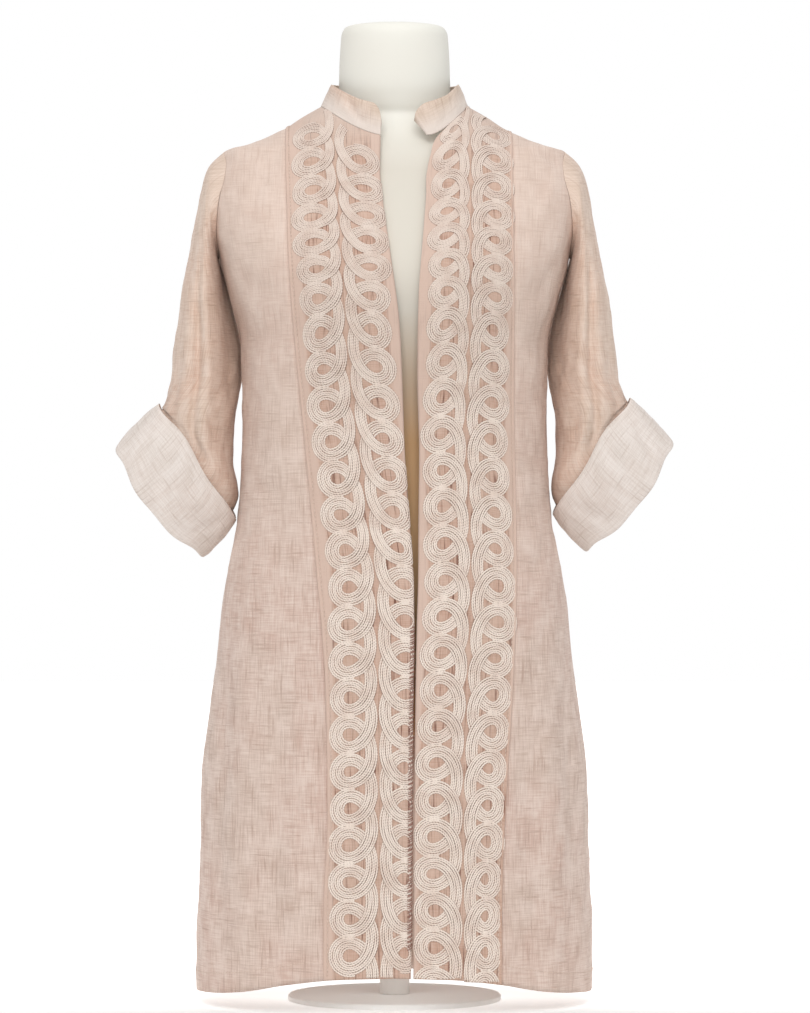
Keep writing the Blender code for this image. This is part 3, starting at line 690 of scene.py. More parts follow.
def panel_rows(below, round_armhole):
    """Row places from hem to top: even up to the underarm, then crowded at both ends of the armhole."""
    hem = HEM["front"][-1]
    angle = np.linspace(0, math.pi, round_armhole + 1)
    armhole = UNDERARM_Z + (SHOULDER_TIP_Z - UNDERARM_Z) * (1 - np.cos(angle)) / 2
    rows = np.concatenate([np.linspace(hem, UNDERARM_Z, below + 1)[:-1], armhole])
    return (rows - hem) / (SHOULDER_TIP_Z - hem)


# Meshes


def quads(rows, columns, start=0, round_it=False):
    """Corner numbers of a grid's quads, the points being numbered by rows."""
    i, j = np.meshgrid(np.arange(rows - 1), np.arange(columns - (not round_it)), indexing="ij")
    low = start + i * columns
    k = (j + 1) % columns
    return np.stack([low + j, low + k, low + columns + k, low + columns + j], axis=-1).reshape(-1, 4)


def corners(grid):
    """A grid's values at the four corners of each of its quads."""
    around = [grid[:-1, :-1], grid[:-1, 1:], grid[1:, 1:], grid[1:, :-1]]
    return np.stack(around, axis=2).reshape(-1, 4, grid.shape[-1])


def add_mesh(name, points, faces, uv, material):
    """One object at the origin from points, quads and the quads' corner places on the cloth."""
    mesh = bpy.data.meshes.new(name)
    mesh.vertices.add(len(points))
    mesh.vertices.foreach_set("co", np.ascontiguousarray(points, np.float32).ravel())
    mesh.loops.add(faces.size)
    mesh.loops.foreach_set("vertex_index", np.ascontiguousarray(faces, np.int32).ravel())
    mesh.polygons.add(len(faces))
    mesh.polygons.foreach_set("loop_start", np.arange(0, faces.size, 4, dtype=np.int32))
    layer = mesh.uv_layers.new(name="cloth")
    layer.data.foreach_set("uv", np.ascontiguousarray(uv, np.float32).ravel())
    mesh.polygons.foreach_set("use_smooth", np.ones(len(faces), bool))
    mesh.update(calc_edges=True)
    mesh.validate()
    mesh.materials.append(material)
    obj = bpy.data.objects.new(name, mesh)
    bpy.context.scene.collection.objects.link(obj)
    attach(obj, "root")
    return obj


def add_shell(name, outer, inner, uv, material):
    """A closed wall between two open grids, with its outer grid facing out."""
    rows, columns = outer.shape[:2]
    count = rows * columns
    number = np.arange(count).reshape(rows, columns)
    edge = np.concatenate([number[0, :-1], number[:-1, -1], number[-1, :0:-1], number[:0:-1, 0]])
    after = np.roll(edge, -1)
    rim = np.stack([after, edge, edge + count, after + count], axis=-1)
    faces = np.concatenate([quads(rows, columns), quads(rows, columns, count)[:, ::-1], rim])
    places = uv.reshape(-1, 2)
    around = np.concatenate([corners(uv), corners(uv)[:, ::-1], places[rim % count]])
    points = np.concatenate([outer.reshape(-1, 3), inner.reshape(-1, 3)])
    return add_mesh(name, points, faces, around, material)


def add_tube(name, rings, uv, material):
    """A closed skin through rings that come back to the first. uv has one more row and column."""
    rows, columns = rings.shape[:2]
    faces = quads(rows + 1, columns, round_it=True) % (rows * columns)
    return add_mesh(name, rings.reshape(-1, 3), faces, corners(uv), material)


def add_threads(name, points, normal, half_width, height, material, taper=0.0, steps=4):
    """Half-round threads along rows of points. Across one, the skin goes from side to side over the top."""
    count, along = points.shape[:2]
    tangent = unit(np.gradient(points, axis=1))
    side = unit(np.cross(tangent, normal))
    angle = np.linspace(0, math.pi, steps + 1)
    place = np.linspace(0, 1, along)
    full = np.ones(along)
    if taper:
        full = np.sqrt(np.clip(1 - (np.abs(2 * place - 1) / (1 + taper)) ** 4, THREAD_TIP, None))
    shape = (side[:, :, None] * (half_width * np.cos(angle))[:, None] * full[:, None, None]
             + normal[:, :, None] * (height * (np.sin(angle) - THREAD_SUNK))[:, None] * full[:, None, None])
    skin = points[:, :, None] + shape
    faces = np.concatenate([quads(along, steps + 1, i * along * (steps + 1)) for i in range(count)])
    u = np.broadcast_to(lengths(points, 1)[..., None], skin.shape[:3])
    v = np.broadcast_to(angle / math.pi, skin.shape[:3])
    uv = np.stack([u, v], axis=-1)
    around = np.concatenate([corners(uv[i]) for i in range(count)])
    return add_mesh(name, skin.reshape(-1, 3), faces, around, material)


# Pieces of cloth


def add_panel(name, points, sign, rows, turn, material):
    """A panel facing the front (-1) or the back (1): its surface raised by its creases and slight waves,
    which fade out at its seams, and a little thicker over the turned-up hem. The grain runs straight up."""
    if normals(points)[..., 1].mean() * sign < 0:
        points = points[:, ::-1]
    u = lengths(points, 1)
    v = lengths(points, 0)
    seam = np.minimum(u, u[:, -1:] - u)
    fade = soft_step(seam / SEAM_FADE) * soft_step((v[-1:] - v) / TOP_FADE)
    middle = np.argmin(np.abs(points[0, :, 0]))
    way = np.sign(points[0, -1, 0] - points[0, 0, 0])
    grain = u - u[:, middle, None] + way * points[:, middle, 0, None]
    height = points[..., 2]
    lift = fade * (creases(points[..., 0], height, rows) + ripple(grain, height, turn))
    lift = lift + HEM_FOLD * (1 - soft_step((v - HEM_DEPTH + HEM_EDGE / 2) / HEM_EDGE))
    outer = points + lift[..., None] * normals(points)
    inner = outer - WALL * normals(outer)
    return add_shell(name, outer, inner, np.stack([grain, height], axis=-1), material), outer


def band_strip(band, centre):
    """The cloth under a band as a lattice: rows up the band, columns by distance from the line between
    its loops. Cloth that the front edge has no room for turns under it, round a small radius."""
    low = np.linspace(0, 1 - LATTICE_TOP_SHARE, LATTICE_LOW_ROWS)[:-1]
    top = np.linspace(1, 0, LATTICE_TOP_ROWS) ** LATTICE_TOP_POWER
    up = np.concatenate([low, 1 - LATTICE_TOP_SHARE * top])
    share = np.linspace(0, 1, BAND_COLUMNS)
    points = band_points(*np.meshgrid(share, up), band)
    arc = lengths(points, 1)
    z = points[:, BAND_COLUMNS // 2, 2]
    front = smooth(band, "front_edge", z)
    middle = (smooth(centre, "x", z) - front) / (smooth(band, "outer_edge", z) - front)
    to_centre = np.array([np.interp(m, share, row) for m, row in zip(middle, arc)])
    off = LATTICE_STEP * np.arange(LATTICE_FIRST, LATTICE_LAST + 1)
    place = to_centre[:, None] + off
    inside = np.clip(place, ROLL_RADIUS, arc[:, -1:])
    flat = np.array([
        [np.interp(at, length, row[:, k]) for k in range(3)] for at, length, row in zip(inside, arc, points)
    ]).transpose(0, 2, 1)
    out = normals(points)[:, 1]
    out *= np.sign(-out[:, 1].mean())
    forward = unit(points[:, 0] - points[:, 4])
    over = np.clip(ROLL_RADIUS - place, 0, None)
    turn = np.minimum(over / ROLL_RADIUS, math.pi)
    back = np.clip(over - math.pi * ROLL_RADIUS, 0, None)
    flat = flat + (ROLL_RADIUS * np.sin(turn) - back)[..., None] * forward[:, None]
    flat = flat - (ROLL_RADIUS * (1 - np.cos(turn)))[..., None] * out[:, None]
    normal = normals(flat)
    normal *= np.sign(-normal[:, off > 0, 1].mean())
    outer = arc[:, -1] - to_centre
    return {"points": flat, "normal": normal, "off": off, "front": -to_centre, "outer": outer}


def on_strip(strip, row, off):
    """Point and normal at fractional lattice places, mixed from the four lattice points around each."""
    points = strip["points"]
    i = np.clip(row, 0, len(points) - LATTICE_INSIDE)
    j = np.clip(off / LATTICE_STEP - LATTICE_FIRST, 0, points.shape[1] - LATTICE_INSIDE)
    low, left = i.astype(int), j.astype(int)
    a = (i - low)[..., None]
    b = (j - left)[..., None]

    def mixed(grid):
        lower = grid[low, left] * (1 - b) + grid[low, left + 1] * b
        return lower * (1 - a) + (grid[low + 1, left] * (1 - b) + grid[low + 1, left + 1] * b) * a

    return mixed(points), unit(mixed(strip["normal"]))


def add_band(name, strip, material):
    """The band's ground, with its turned front edge and a narrow raised fold along its outer edge."""
    start = strip["front"] + ROLL_RADIUS
    first = -np.maximum(-strip["front"] + TURNED_MARGIN, LOOP_REACH)
    turned = first[:, None] + np.linspace(0, 1, TURNED_COLUMNS)[:-1] * (start - first)[:, None]
    share = np.linspace(0, PLAIN_SHARE, PLAIN_COLUMNS)[:-1]
    share = np.concatenate([share, np.linspace(PLAIN_SHARE, 1, FOLD_COLUMNS)])
    plain = start[:, None] + share * (strip["outer"] - start)[:, None]
    off = np.concatenate([turned, plain], axis=1)
    row = np.broadcast_to(np.arange(len(off), dtype=float)[:, None], off.shape)
    points, normal = on_strip(strip, row, off)
    fold = np.exp(-(((strip["outer"][:, None] - off - EDGE_FOLD_INSET) / EDGE_FOLD_WIDTH) ** 2))
    points = points + (EDGE_FOLD_HEIGHT * fold)[..., None] * normal
    if (normals(points) * normal).sum(-1).mean() < 0:
        points, normal, off = points[:, ::-1], normal[:, ::-1], off[:, ::-1]
    uv = np.stack([off + BAND_MIDDLE, lengths(points, 0)], axis=-1)
    return add_shell(name, points, points - WALL * normal, uv, material)


def column_length(strip, off):
    """Distance up the cloth to each lattice row, at one distance from the line between the loops."""
    column = strip["points"][:, int(round(off / LATTICE_STEP)) - LATTICE_FIRST]
    return lengths(column[:, None], 0)[:, 0]


def row_at(strip, off, along):
    """Lattice rows at distances up the cloth, measured at one distance from the line between the loops."""
    length = column_length(strip, off)
    return np.interp(along, length, np.arange(len(length)))


def level_rows(strip, off, along):
    """Lattice rows for places at a distance up the cloth. They are level across a column of loops, but for
    a share of the slope that the lattice itself has there."""
    middle = math.copysign(LOOP_MIDDLE, off.mean())
    row = row_at(strip, middle, along)
    level = on_strip(strip, row, middle)[0][..., 2]
    goal = level + ROW_SLOPE * (on_strip(strip, row, off)[0][..., 2] - level)
    last = len(strip["points"]) - 1 - LATTICE_INSIDE
    for _ in range(LEVEL_ROUNDS):
        here = on_strip(strip, row, off)[0][..., 2]
        step = on_strip(strip, row + 1, off)[0][..., 2] - here
        row = np.clip(row + (goal - here) / np.maximum(step, LEAST_RISE), 0, last)
    return row


def knee(past):
    """0 below 0 and the value itself above it, with a soft bend between."""
    return (past + np.hypot(past, CLOSER_EASE)) / 2


def uneven(k, side, rows):
    """1 with a few sine waves added along a column of loops, so that its loops differ a little."""
    waves = [row["share"] * np.sin(row["rate"] * k + row["start"] + row["by_side"] * side) for row in rows]
    return 1 + sum(waves)


def lay_cords(strip, column, turned, t, place):
    """Points and normals of cords at distances from the middle of a column's looped wave. The middle goes
    along = pitch t / 2 pi + swing sin t and out = half width (1 - cos t), both a little uneven. Loops are
    narrower where the band is, and closer over the chest. Where a loop closes, its later end lies over its
    earlier one. What reaches past the cloth's ends turns under."""
    side, first, loops, spare = column
    k = t / (2 * math.pi)
    swing = LOOP_SWING * uneven(k, side, SWING_UNEVEN)
    wave = LOOP_PITCH * k + swing * np.sin(t)
    along = first + LOOP_PITCH * (loops - 0.5) - wave if turned else first - LOOP_PITCH / 2 + wave
    edge = strip["outer"] if side > 0 else -strip["front"]
    room = np.interp(row_at(strip, side * LOOP_MIDDLE, along), np.arange(len(edge)), edge)
    most = LOOP_HALF_WIDTH + CHEST_LOOP_EXTRA * soft_step((along - CHEST_FROM) / CHEST_EASE)
    half = np.minimum(most, (room - spare) / 2)
    half = half * uneven(k, side, WIDTH_UNEVEN)
    out = half * (1 - np.cos(t)) + CORD_SPACING * CORDS / 2 + CENTRE_GAP
    way = unit(np.stack([np.gradient(along, axis=-1), np.gradient(out, axis=-1)], axis=-1))
    along = along - place * way[..., 1] * (-1 if turned else 1)
    out = np.maximum(out + place * way[..., 0] * (-1 if turned else 1), CORD_HALF_WIDTH)
    along = along - CLOSER_SHARE * (knee(along - CLOSER_FROM) - knee(along - CLOSER_TO))
    inside = np.clip(along, CORD_END, column_length(strip, side * LOOP_MIDDLE)[-1] - CORD_END)
    points, normal = on_strip(strip, level_rows(strip, side * out, inside), side * out)
    over = (t + math.pi - CROSSING) % (2 * math.pi) - math.pi
    lift = CORD_LIFT * np.exp(-((over / OVERLAP_TURN) ** 2))
    lift = lift - np.clip(np.abs(along - inside), 0, CORD_TURNED_UNDER)
    return points + lift[..., None] * normal, normal


def add_cords(name, strip, column, turned, material):
    """One column of loops: cords side by side along its wave, and one more cord outside each loop."""
    loops = int(column["loops"])
    before, after = TURNED_RUN_OUT if turned else RUN_OUT
    t = np.linspace(-before, 2 * math.pi * loops + after, CORD_STEPS * loops)
    number = np.arange(CORDS)[:, None]
    wander = CORD_WANDER * np.sin(CORD_WANDER_RATE * t + CORD_WANDER_SHIFT * number)
    place = (number - (CORDS - 1) / 2) * CORD_SPACING + wander
    cords = lay_cords(strip, column, turned, np.broadcast_to(t, place.shape), place)
    wave = add_threads(name, *cords, CORD_HALF_WIDTH, CORD_HEIGHT, material)
    half_turn = np.linspace(-RIM_HALF_TURN, RIM_HALF_TURN, RIM_STEPS)
    t = math.pi * (2 * np.arange(loops)[:, None] + 1) + half_turn
    rim = lay_cords(strip, column, turned, t, -CORD_SPACING * (CORDS + 1) / 2)
    return [wave, add_threads(name + "_rim", *rim, CORD_HALF_WIDTH, CORD_HEIGHT, material)]


def tube_ring(section, angle, inset=0.0):
    """A ring of a sleeve or cuff: from its inner edge (0) over the front, the outer edge and the back."""
    out = np.array([section["x_out"], section["y_mid"], section["z_out"]])
    inside = np.array([section["x_in"], section["y_mid"], section["z_in"]])
    half = (inside - out) / 2
    half = half * (1 - inset / np.linalg.norm(half))
    ring = (out + inside) / 2 + np.cos(angle)[:, None] * half
    ring[:, 1] += section["tuck"] * ((1 + np.cos(angle)) / 2) ** TUCK_POWER
    ring[:, 1] -= (section["half_depth"] - inset) * np.sin(angle)
    return ring


def cuff_ring(along, inset, angle):
    """A ring of the cuff between its free edge (0) and its fold (1), which hangs lower at the front.
    Both edges are uneven: a bump in the free edge, and a few waves in each."""
    hang = 1 + CUFF_TILT * np.sin(angle) + CUFF_SAG * np.sin(angle) ** 2
    bump = np.exp(-(((angle - CUFF_BUMP_ANGLE) / CUFF_BUMP_WIDTH) ** 2))
    wave = -(1 - along) * CUFF_BUMP * bump
    for row in CUFF_WAVES:
        near = along if row["edge"] else 1 - along
        wave = wave + near * row["height"] * np.sin(row["rate"] * angle + row["start"])
    free, fold = (tube_ring(row, angle, inset) for row in CUFF)
    return free + (along * hang + wave)[:, None] * (fold - free)


def placed(rings, side):
    """A sleeve's or cuff's points on its own side: mirrored on the right, and on the left lifted a little
    towards the cuff."""
    if side == "right":
        return rings * (-1, 1, 1)
    lift = LEFT_SLEEVE_LIFT * soft_step((SLEEVE_LIFT_START_Z - rings[..., 2]) / SLEEVE_LIFT_LENGTH)
    return rings + np.stack([0 * lift, 0 * lift, lift], axis=-1)


def closed_lengths(rings):
    """Distance round each ring, with the way back to its first point as the last column."""
    return lengths(np.concatenate([rings, rings[:, :1]], axis=1), 1)


def sleeve_rings(angle):
    """Rings from the armhole's edge through the sleeve's sections, pressed in along its long folds."""
    z = UNDERARM_Z + (SHOULDER_TIP_Z - UNDERARM_Z) * (1 - np.cos(angle)) / 2
    x = np.where(np.sin(angle) >= 0, side_x(z, "front"), side_x(z, "back")) + SEAM
    armhole = np.stack([x, -ARMHOLE_HALF_DEPTH * np.sin(angle), z], axis=-1)
    rings = np.array([tube_ring(section, angle) for section in SLEEVE])
    place = (1 - np.cos(angle)) / 2
    face = np.where(np.sin(angle) >= 0, -1, 1)
    inward = unit(rings.mean(axis=1, keepdims=True) - rings)
    number = np.arange(len(rings))[:, None]
    for fold in SLEEVE_FOLDS:
        share = np.clip((number - fold["first"]) / (fold["last"] - fold["first"]), 0, 1)
        off = (place - fold["place"] - share * (fold["end"] - fold["place"])) / fold["width"]
        press = fold["depth"] * np.exp(-(off**2)) * (face == fold["face"]) * np.sin(math.pi * share)
        rings = rings + press[..., None] * inward
    inside = [cuff_ring(np.full_like(angle, CUFF_MIDDLE), CUFF_MIDDLE_INSET, angle)]
    inside.append(cuff_ring(np.full_like(angle, CUFF_END), CUFF_LIP_INSET, angle))
    return np.concatenate([armhole[None], rings, inside])


def add_sleeve(side, shift, share, material):
    """A sleeve: a smooth skin through its rings, with its creases, and its inside one wall further in."""
    angle = np.linspace(0, 2 * math.pi, RING_POINTS, endpoint=False)
    rings = sleeve_rings(angle)
    outer = through(rings, np.linspace(0, len(rings) - 1, SLEEVE_ROWS))
    u = closed_lengths(outer)
    v = np.concatenate([lengths(outer, 0), lengths(outer, 0)[:, :1]], axis=1)
    fade = soft_step(v / SLEEVE_TOP_FADE) * soft_step((v[-1:] - v) / SLEEVE_END_FADE)
    lift = share * creases(u + shift, v, SLEEVE_CREASES) + ripple(u, v, shift * SLEEVE_RIPPLE_TURN)
    away = unit(outer - outer.mean(axis=1, keepdims=True))
    outer = placed(outer + (fade * lift)[:, :-1, None] * away, side)
    height = np.concatenate([outer[..., 2], outer[:, :1, 2]], axis=1)
    uv = np.stack([SLEEVE_GIRTH * u / u[:, -1:], height], axis=-1)
    normal = normals(np.concatenate([outer[:, -2:], outer, outer[:, :2]], axis=1))[:, 2:-2]
    if (normal * (outer - outer.mean(axis=1, keepdims=True))).sum(-1).mean() < 0:
        outer, normal, uv = outer[:, ::-1], -normal[:, ::-1], uv[:, ::-1]
    rings = np.concatenate([outer, (outer - WALL * normal)[::-1]])
    return add_tube(f"sleeve_{side}_cloth", rings, np.concatenate([uv, uv[::-1], uv[:1]]), material)


def add_cuff(side, shift, material):
    """A turned-back cuff: its section from free edge to fold and back, carried round, with its creases."""
    angle = np.linspace(0, 2 * math.pi, RING_POINTS, endpoint=False)
    section = np.stack([CUFF_SECTION["along"], CUFF_SECTION["inset"]], axis=-1)
    loop = np.concatenate([section[-1:], section, section[:2]])
    fine = through(loop, 1 + np.linspace(0, len(section), CUFF_ROWS, endpoint=False))
    rings = np.array([cuff_ring(np.full_like(angle, along), inset, angle) for along, inset in fine])
    u = closed_lengths(rings)
    along = fine[:, :1] * CUFF_LENGTH
    away = unit(rings - rings.mean(axis=1, keepdims=True))
    lift = creases(u + shift, along + 0 * u, CUFF_CREASES)
    lift = lift + ripple(u, along + 0 * u, shift * CUFF_RIPPLE_TURN)
    lift = (lift * soft_step((CUFF_CALM_FROM - fine[:, :1]) / CUFF_CALM))[:, :-1]
    rings = placed(rings + lift[..., None] * away, side)
    v = np.concatenate([lengths(rings, 0)[:, :1], lengths(rings, 0)[-1:, :1] + CUFF_LIP])
    uv = np.stack(np.broadcast_arrays(np.concatenate([u, u[:1]]), v), axis=-1)
    face = rings[:CUFF_OUTER_ROWS]
    normal = normals(rings)[:CUFF_OUTER_ROWS]
    if (normal * (face - face.mean(axis=1, keepdims=True))).sum(-1).mean() < 0:
        rings, uv = rings[:, ::-1], uv[:, ::-1]
    return add_tube(f"cuff_{side}_cloth", rings, uv, material)


def neckline(band):
    """The top edge of a front from its front edge to the neck point."""
    start = float(smooth(band, "front_edge", np.array(NECK_FRONT_Z)))
    end = np.sign(band["outer_edge"][0]) * NECK_HALF_WIDTH
    x = start + (end - start) * np.linspace(0, 1, NECKLINE_POINTS)
    z = front_top_z(x, band)
    y = -depth(x, z, "front") - SEAM / 2
    y[-1] = 0
    return np.stack([x, y, z], axis=-1)


def add_collar(material):
    """Stand collar on the neckline: it leans in, its height changes round the neck, its front corners are
    rounded, and its left end slants."""
    x = NECK_HALF_WIDTH * np.linspace(-1, 1, BACK_NECK_POINTS)[1:-1]
    z = back_top_z(x)
    back = np.stack([x, depth(x, z, "back") + SEAM / 2, z], axis=-1)
    line = np.concatenate([neckline(RIGHT_BAND), back, neckline(LEFT_BAND)[::-1]])
    length = lengths(line[:, None], 0)[:, 0]
    whole = length[-1]
    share = np.linspace(0, 1, COLLAR_COLUMNS)
    share = 0.5 * (1 - np.cos(math.pi * share)) / 2 + 0.5 * share
    foot = np.stack([np.interp(share * whole, length, line[:, k]) for k in range(3)], axis=-1)
    corner = np.clip(np.minimum(share, 1 - share) * whole / COLLAR_CORNER, 0, 1)
    low = 1 - COLLAR_CORNER_SHARE * (1 - np.sqrt(1 - (1 - corner) ** 2))
    height = smooth(COLLAR, "height", share) * low
    slant = COLLAR_LEFT_SLANT * np.clip(1 - (1 - share) * whole / COLLAR_SLANT_LENGTH, 0, 1)
    inward = unit(-foot * (1, 1, 0))
    rise = np.linspace(0, 1, COLLAR_ROWS)[:, None]
    outer = foot + (smooth(COLLAR, "lean", share)[:, None] * inward) * rise[..., None]
    outer[..., 0] -= slant * rise
    outer[..., 2] += SEAM + height * rise
    normal = normals(outer)
    if (normal * inward).sum(-1).mean() > 0:
        outer, inward, share = outer[:, ::-1], inward[::-1], share[::-1]
        normal = -normal[:, ::-1]
    u = np.broadcast_to(share * whole, outer.shape[:2])
    v = lengths(outer, 0)
    waves = 0.5 * ripple(2 * u, 2 * v, COLLAR_RIPPLE_TURN)
    lift = soft_step(v / COLLAR_FOOT_FADE) * (creases(u, v, COLLAR_CREASES) + waves)
    lift = lift + COLLAR_EDGE * np.exp(-(((v[-1:] - v - COLLAR_EDGE_INSET) / COLLAR_EDGE_WIDTH) ** 2))
    outer = outer + lift[..., None] * normal
    inner = outer - WALL * normals(outer)
    return add_shell("collar_cloth", outer, inner, np.stack([u, v], axis=-1), material)


def add_form(material):
    """The dress form: a smooth skin through level rounded rings, closed at its bottom and its top."""
    angle = np.linspace(0, 2 * math.pi, FORM_POINTS, endpoint=False)
    c = np.cos(angle)
    s = np.sin(angle)

    def ring(z, half_width, front, back, power):
        x = half_width * np.sign(c) * np.abs(c) ** (2 / power)
        y = np.where(s < 0, front, back) * np.sign(s) * np.abs(s) ** (2 / power)
        return np.stack([x, y, 0 * x + z], axis=-1)

    rings = []
    for ease in FORM_EASE:
        level = ease["z"] + FORM_LIFT
        half_width = min(smooth(BODY, "half_width", level) - ease["side"], FORM_MOST_HALF_WIDTH)
        front = smooth(BODY, "front", level) - ease["front_back"]
        back = smooth(BODY, "back", level) - ease["front_back"]
        rings.append(ring(ease["z"], half_width, front, back, ease["power"]))
    rings += [ring(*neck) for neck in FORM_NECK]
    skin = through(np.array(rings), np.linspace(0, len(rings) - 1, FORM_ROWS))
    bottom = skin[:1] * (FORM_CAP_SHARE, FORM_CAP_SHARE, 1)
    top = skin[-1:] * (FORM_CAP_SHARE, FORM_CAP_SHARE, 0) + (0, 0, FORM_TOP_Z)
    skin = np.concatenate([bottom, skin, top])
    place = np.stack(np.broadcast_arrays(closed_lengths(skin), lengths(skin, 0)[:, :1]), axis=-1)
    faces = quads(len(skin), len(angle), round_it=True)
    return add_mesh("form_body", skin.reshape(-1, 3), faces, corners(place), material)


# Materials: patches of noise per metre of linen, across and up it, and their detail
WARP = 900, 40, 2
WEFT = 40, 900, 2
WARP_SLUB = 420, 24, 1.5
WEFT_SLUB = 24, 420, 1.5
PATCHES = 46, 30, 4
CLOUDS = 9, 6, 3

# Strength and depth of the weave and of the cords' plies
LINEN_BUMP = 0.55, 0.0005
CORD_BUMP = 0.5, 0.0004

# The floor: its colour before the jacket, from where to where that fades, and the same for its glow,
# with the glow's strength at both ends
FLOOR_BEFORE = 196, 195, 193
FLOOR_BEFORE_END = -0.8, -0.15
FLOOR_GLOW = -0.16, 0.02, 0.0, 0.62


def srgb(red, green, blue):
    """A colour as read on a screen, 0 to 255, in the renderer's linear values."""
    c = np.array([red, green, blue]) / 255
    return (*np.where(c <= 0.04045, c / 12.92, ((c + 0.055) / 1.055) ** 2.4).tolist(), 1)


def put(tree, kind, inputs, **settings):
    """Adds a shader node. Its inputs, by name or number, take a value or another node's output."""
    made = tree.nodes.new(kind)
    for key, value in settings.items():
        setattr(made, key, value)
    for key, value in inputs.items():
        if isinstance(value, bpy.types.NodeSocket):
            tree.links.new(value, made.inputs[key])
        else:
            made.inputs[key].default_value = value
    return made


def math_node(tree, operation, *values):
    """The output of one arithmetic node."""
    return put(tree, "ShaderNodeMath", dict(enumerate(values)), operation=operation).outputs[0]


def ranged(tree, value, low, high, to_low=0.0, to_high=1.0):
    """A value moved from one range to another, and held inside it."""
    inputs = {0: value, 1: low, 2: high, 3: to_low, 4: to_high}
    return put(tree, "ShaderNodeMapRange", inputs, clamp=True).outputs[0]


def mixed(tree, factor, a, b):
    """Two colours mixed by a factor."""
    return put(tree, "ShaderNodeMix", {0: factor, 6: a, 7: b}, data_type="RGBA").outputs[2]


def streaks(tree, place, across, up, detail):
    """Cloudy noise with so many patches per metre across the cloth and up it."""
    scaled = put(tree, "ShaderNodeVectorMath", {0: place, 1: (across, up, 1)}, operation="MULTIPLY")
    inputs = {"Vector": scaled.outputs[0], "Scale": 1.0, "Detail": detail, "Roughness": 0.55}
    return put(tree, "ShaderNodeTexNoise", inputs, noise_dimensions="2D").outputs[0]


def new_group(name, inputs, outputs):
    """An empty node group with its sockets, and its input and output nodes."""
    tree = bpy.data.node_groups.new(name, "ShaderNodeTree")
    for label, kind in inputs:
        tree.interface.new_socket(label, in_out="INPUT", socket_type=kind)
    for label, kind in outputs:
        tree.interface.new_socket(label, in_out="OUTPUT", socket_type=kind)
    return tree, tree.nodes.new("NodeGroupInput").outputs, tree.nodes.new("NodeGroupOutput").inputs


def linen_group():
    """Washed linen: two ground colours in broad clouds, pale patches, and dark slubs along both threads."""
    colours = [(label, "NodeSocketColor") for label in ("Pink", "Beige", "Pale", "Slub")]
    outputs = [("Colour", "NodeSocketColor"), ("Height", "NodeSocketFloat")]
    shares = [(label, "NodeSocketFloat") for label in ("Slub share", "Weft share")]
    inputs = [("Place", "NodeSocketVector")] + shares + colours
    tree, given, result = new_group("washed linen", inputs, outputs)
    place = given["Place"]
    warp = streaks(tree, place, *WARP)
    weft = streaks(tree, place, *WEFT)
    warp_slub = streaks(tree, place, *WARP_SLUB)
    weft_slub = streaks(tree, place, *WEFT_SLUB)
    patch = streaks(tree, place, *PATCHES)
    cloud = streaks(tree, place, *CLOUDS)
    ground = mixed(tree, ranged(tree, cloud, 0.40, 0.60), given["Pink"], given["Beige"])
    threads = math_node(tree, "ADD", warp, weft)
    light = math_node(tree, "MULTIPLY_ADD", threads, 1.7, math_node(tree, "MULTIPLY", patch, 1.6))
    pale = mixed(tree, ranged(tree, light, 2.00, 3.05), ground, given["Pale"])
    across = math_node(tree, "MULTIPLY", ranged(tree, weft_slub, 0.58, 0.80), given["Weft share"])
    slub = math_node(tree, "MAXIMUM", ranged(tree, warp_slub, 0.54, 0.76), across)
    worn = math_node(tree, "MULTIPLY", slub, ranged(tree, patch, 0.66, 0.36, 0.20, 0.75))
    worn = math_node(tree, "MULTIPLY", worn, given["Slub share"])
    tree.links.new(mixed(tree, worn, pale, given["Slub"]), result["Colour"])
    tree.links.new(math_node(tree, "MULTIPLY_ADD", slub, -0.5, threads), result["Height"])
    return tree


def cord_group():
    """Twisted cord: cream on top, darker down its sides as painted shade, with slanting plies. Along is in
    metres.
    """
    inputs = [("Along", "NodeSocketFloat"), ("Round", "NodeSocketFloat"), ("Place", "NodeSocketVector")]
    inputs += [("Cream", "NodeSocketColor"), ("Warm", "NodeSocketColor"), ("Side", "NodeSocketColor")]
    outputs = [("Colour", "NodeSocketColor"), ("Height", "NodeSocketFloat")]
    tree, given, result = new_group("twisted cord", inputs, outputs)
    turn = math_node(tree, "MULTIPLY", given["Along"], 2 * math.pi / CORD_TWIST)
    ply = math_node(tree, "SINE", math_node(tree, "MULTIPLY_ADD", given["Round"], 4.5, turn))
    inputs = {"Vector": given["Place"], "Scale": 60.0, "Detail": 3.0}
    noise = put(tree, "ShaderNodeTexNoise", inputs).outputs[0]
    body = mixed(tree, ranged(tree, noise, 0.42, 0.66), given["Cream"], given["Warm"])
    # Painted shade: the colour darkens towards both sides of the cord, a little unevenly along its plies.
    off = math_node(tree, "ABSOLUTE", math_node(tree, "MULTIPLY_ADD", given["Round"], 2.0, -1.0))
    side = ranged(tree, math_node(tree, "MULTIPLY_ADD", ply, 0.15, off), 0.38, 0.76, 0.0, 0.95)
    tree.links.new(mixed(tree, side, body, given["Side"]), result["Colour"])
    tree.links.new(ply, result["Height"])
    return tree


def new_material(name):
    """A material with its tree and its shader."""
    material = bpy.data.materials.new(name)
    material.use_nodes = True
    return material, material.node_tree, material.node_tree.nodes["Principled BSDF"]


def bumped(tree, shader, height, strength, distance):
    """Gives a shader the slope of a height."""
    bump = put(tree, "ShaderNodeBump", {"Height": height, "Strength": strength, "Distance": distance})
    tree.links.new(bump.outputs[0], shader.inputs["Normal"])


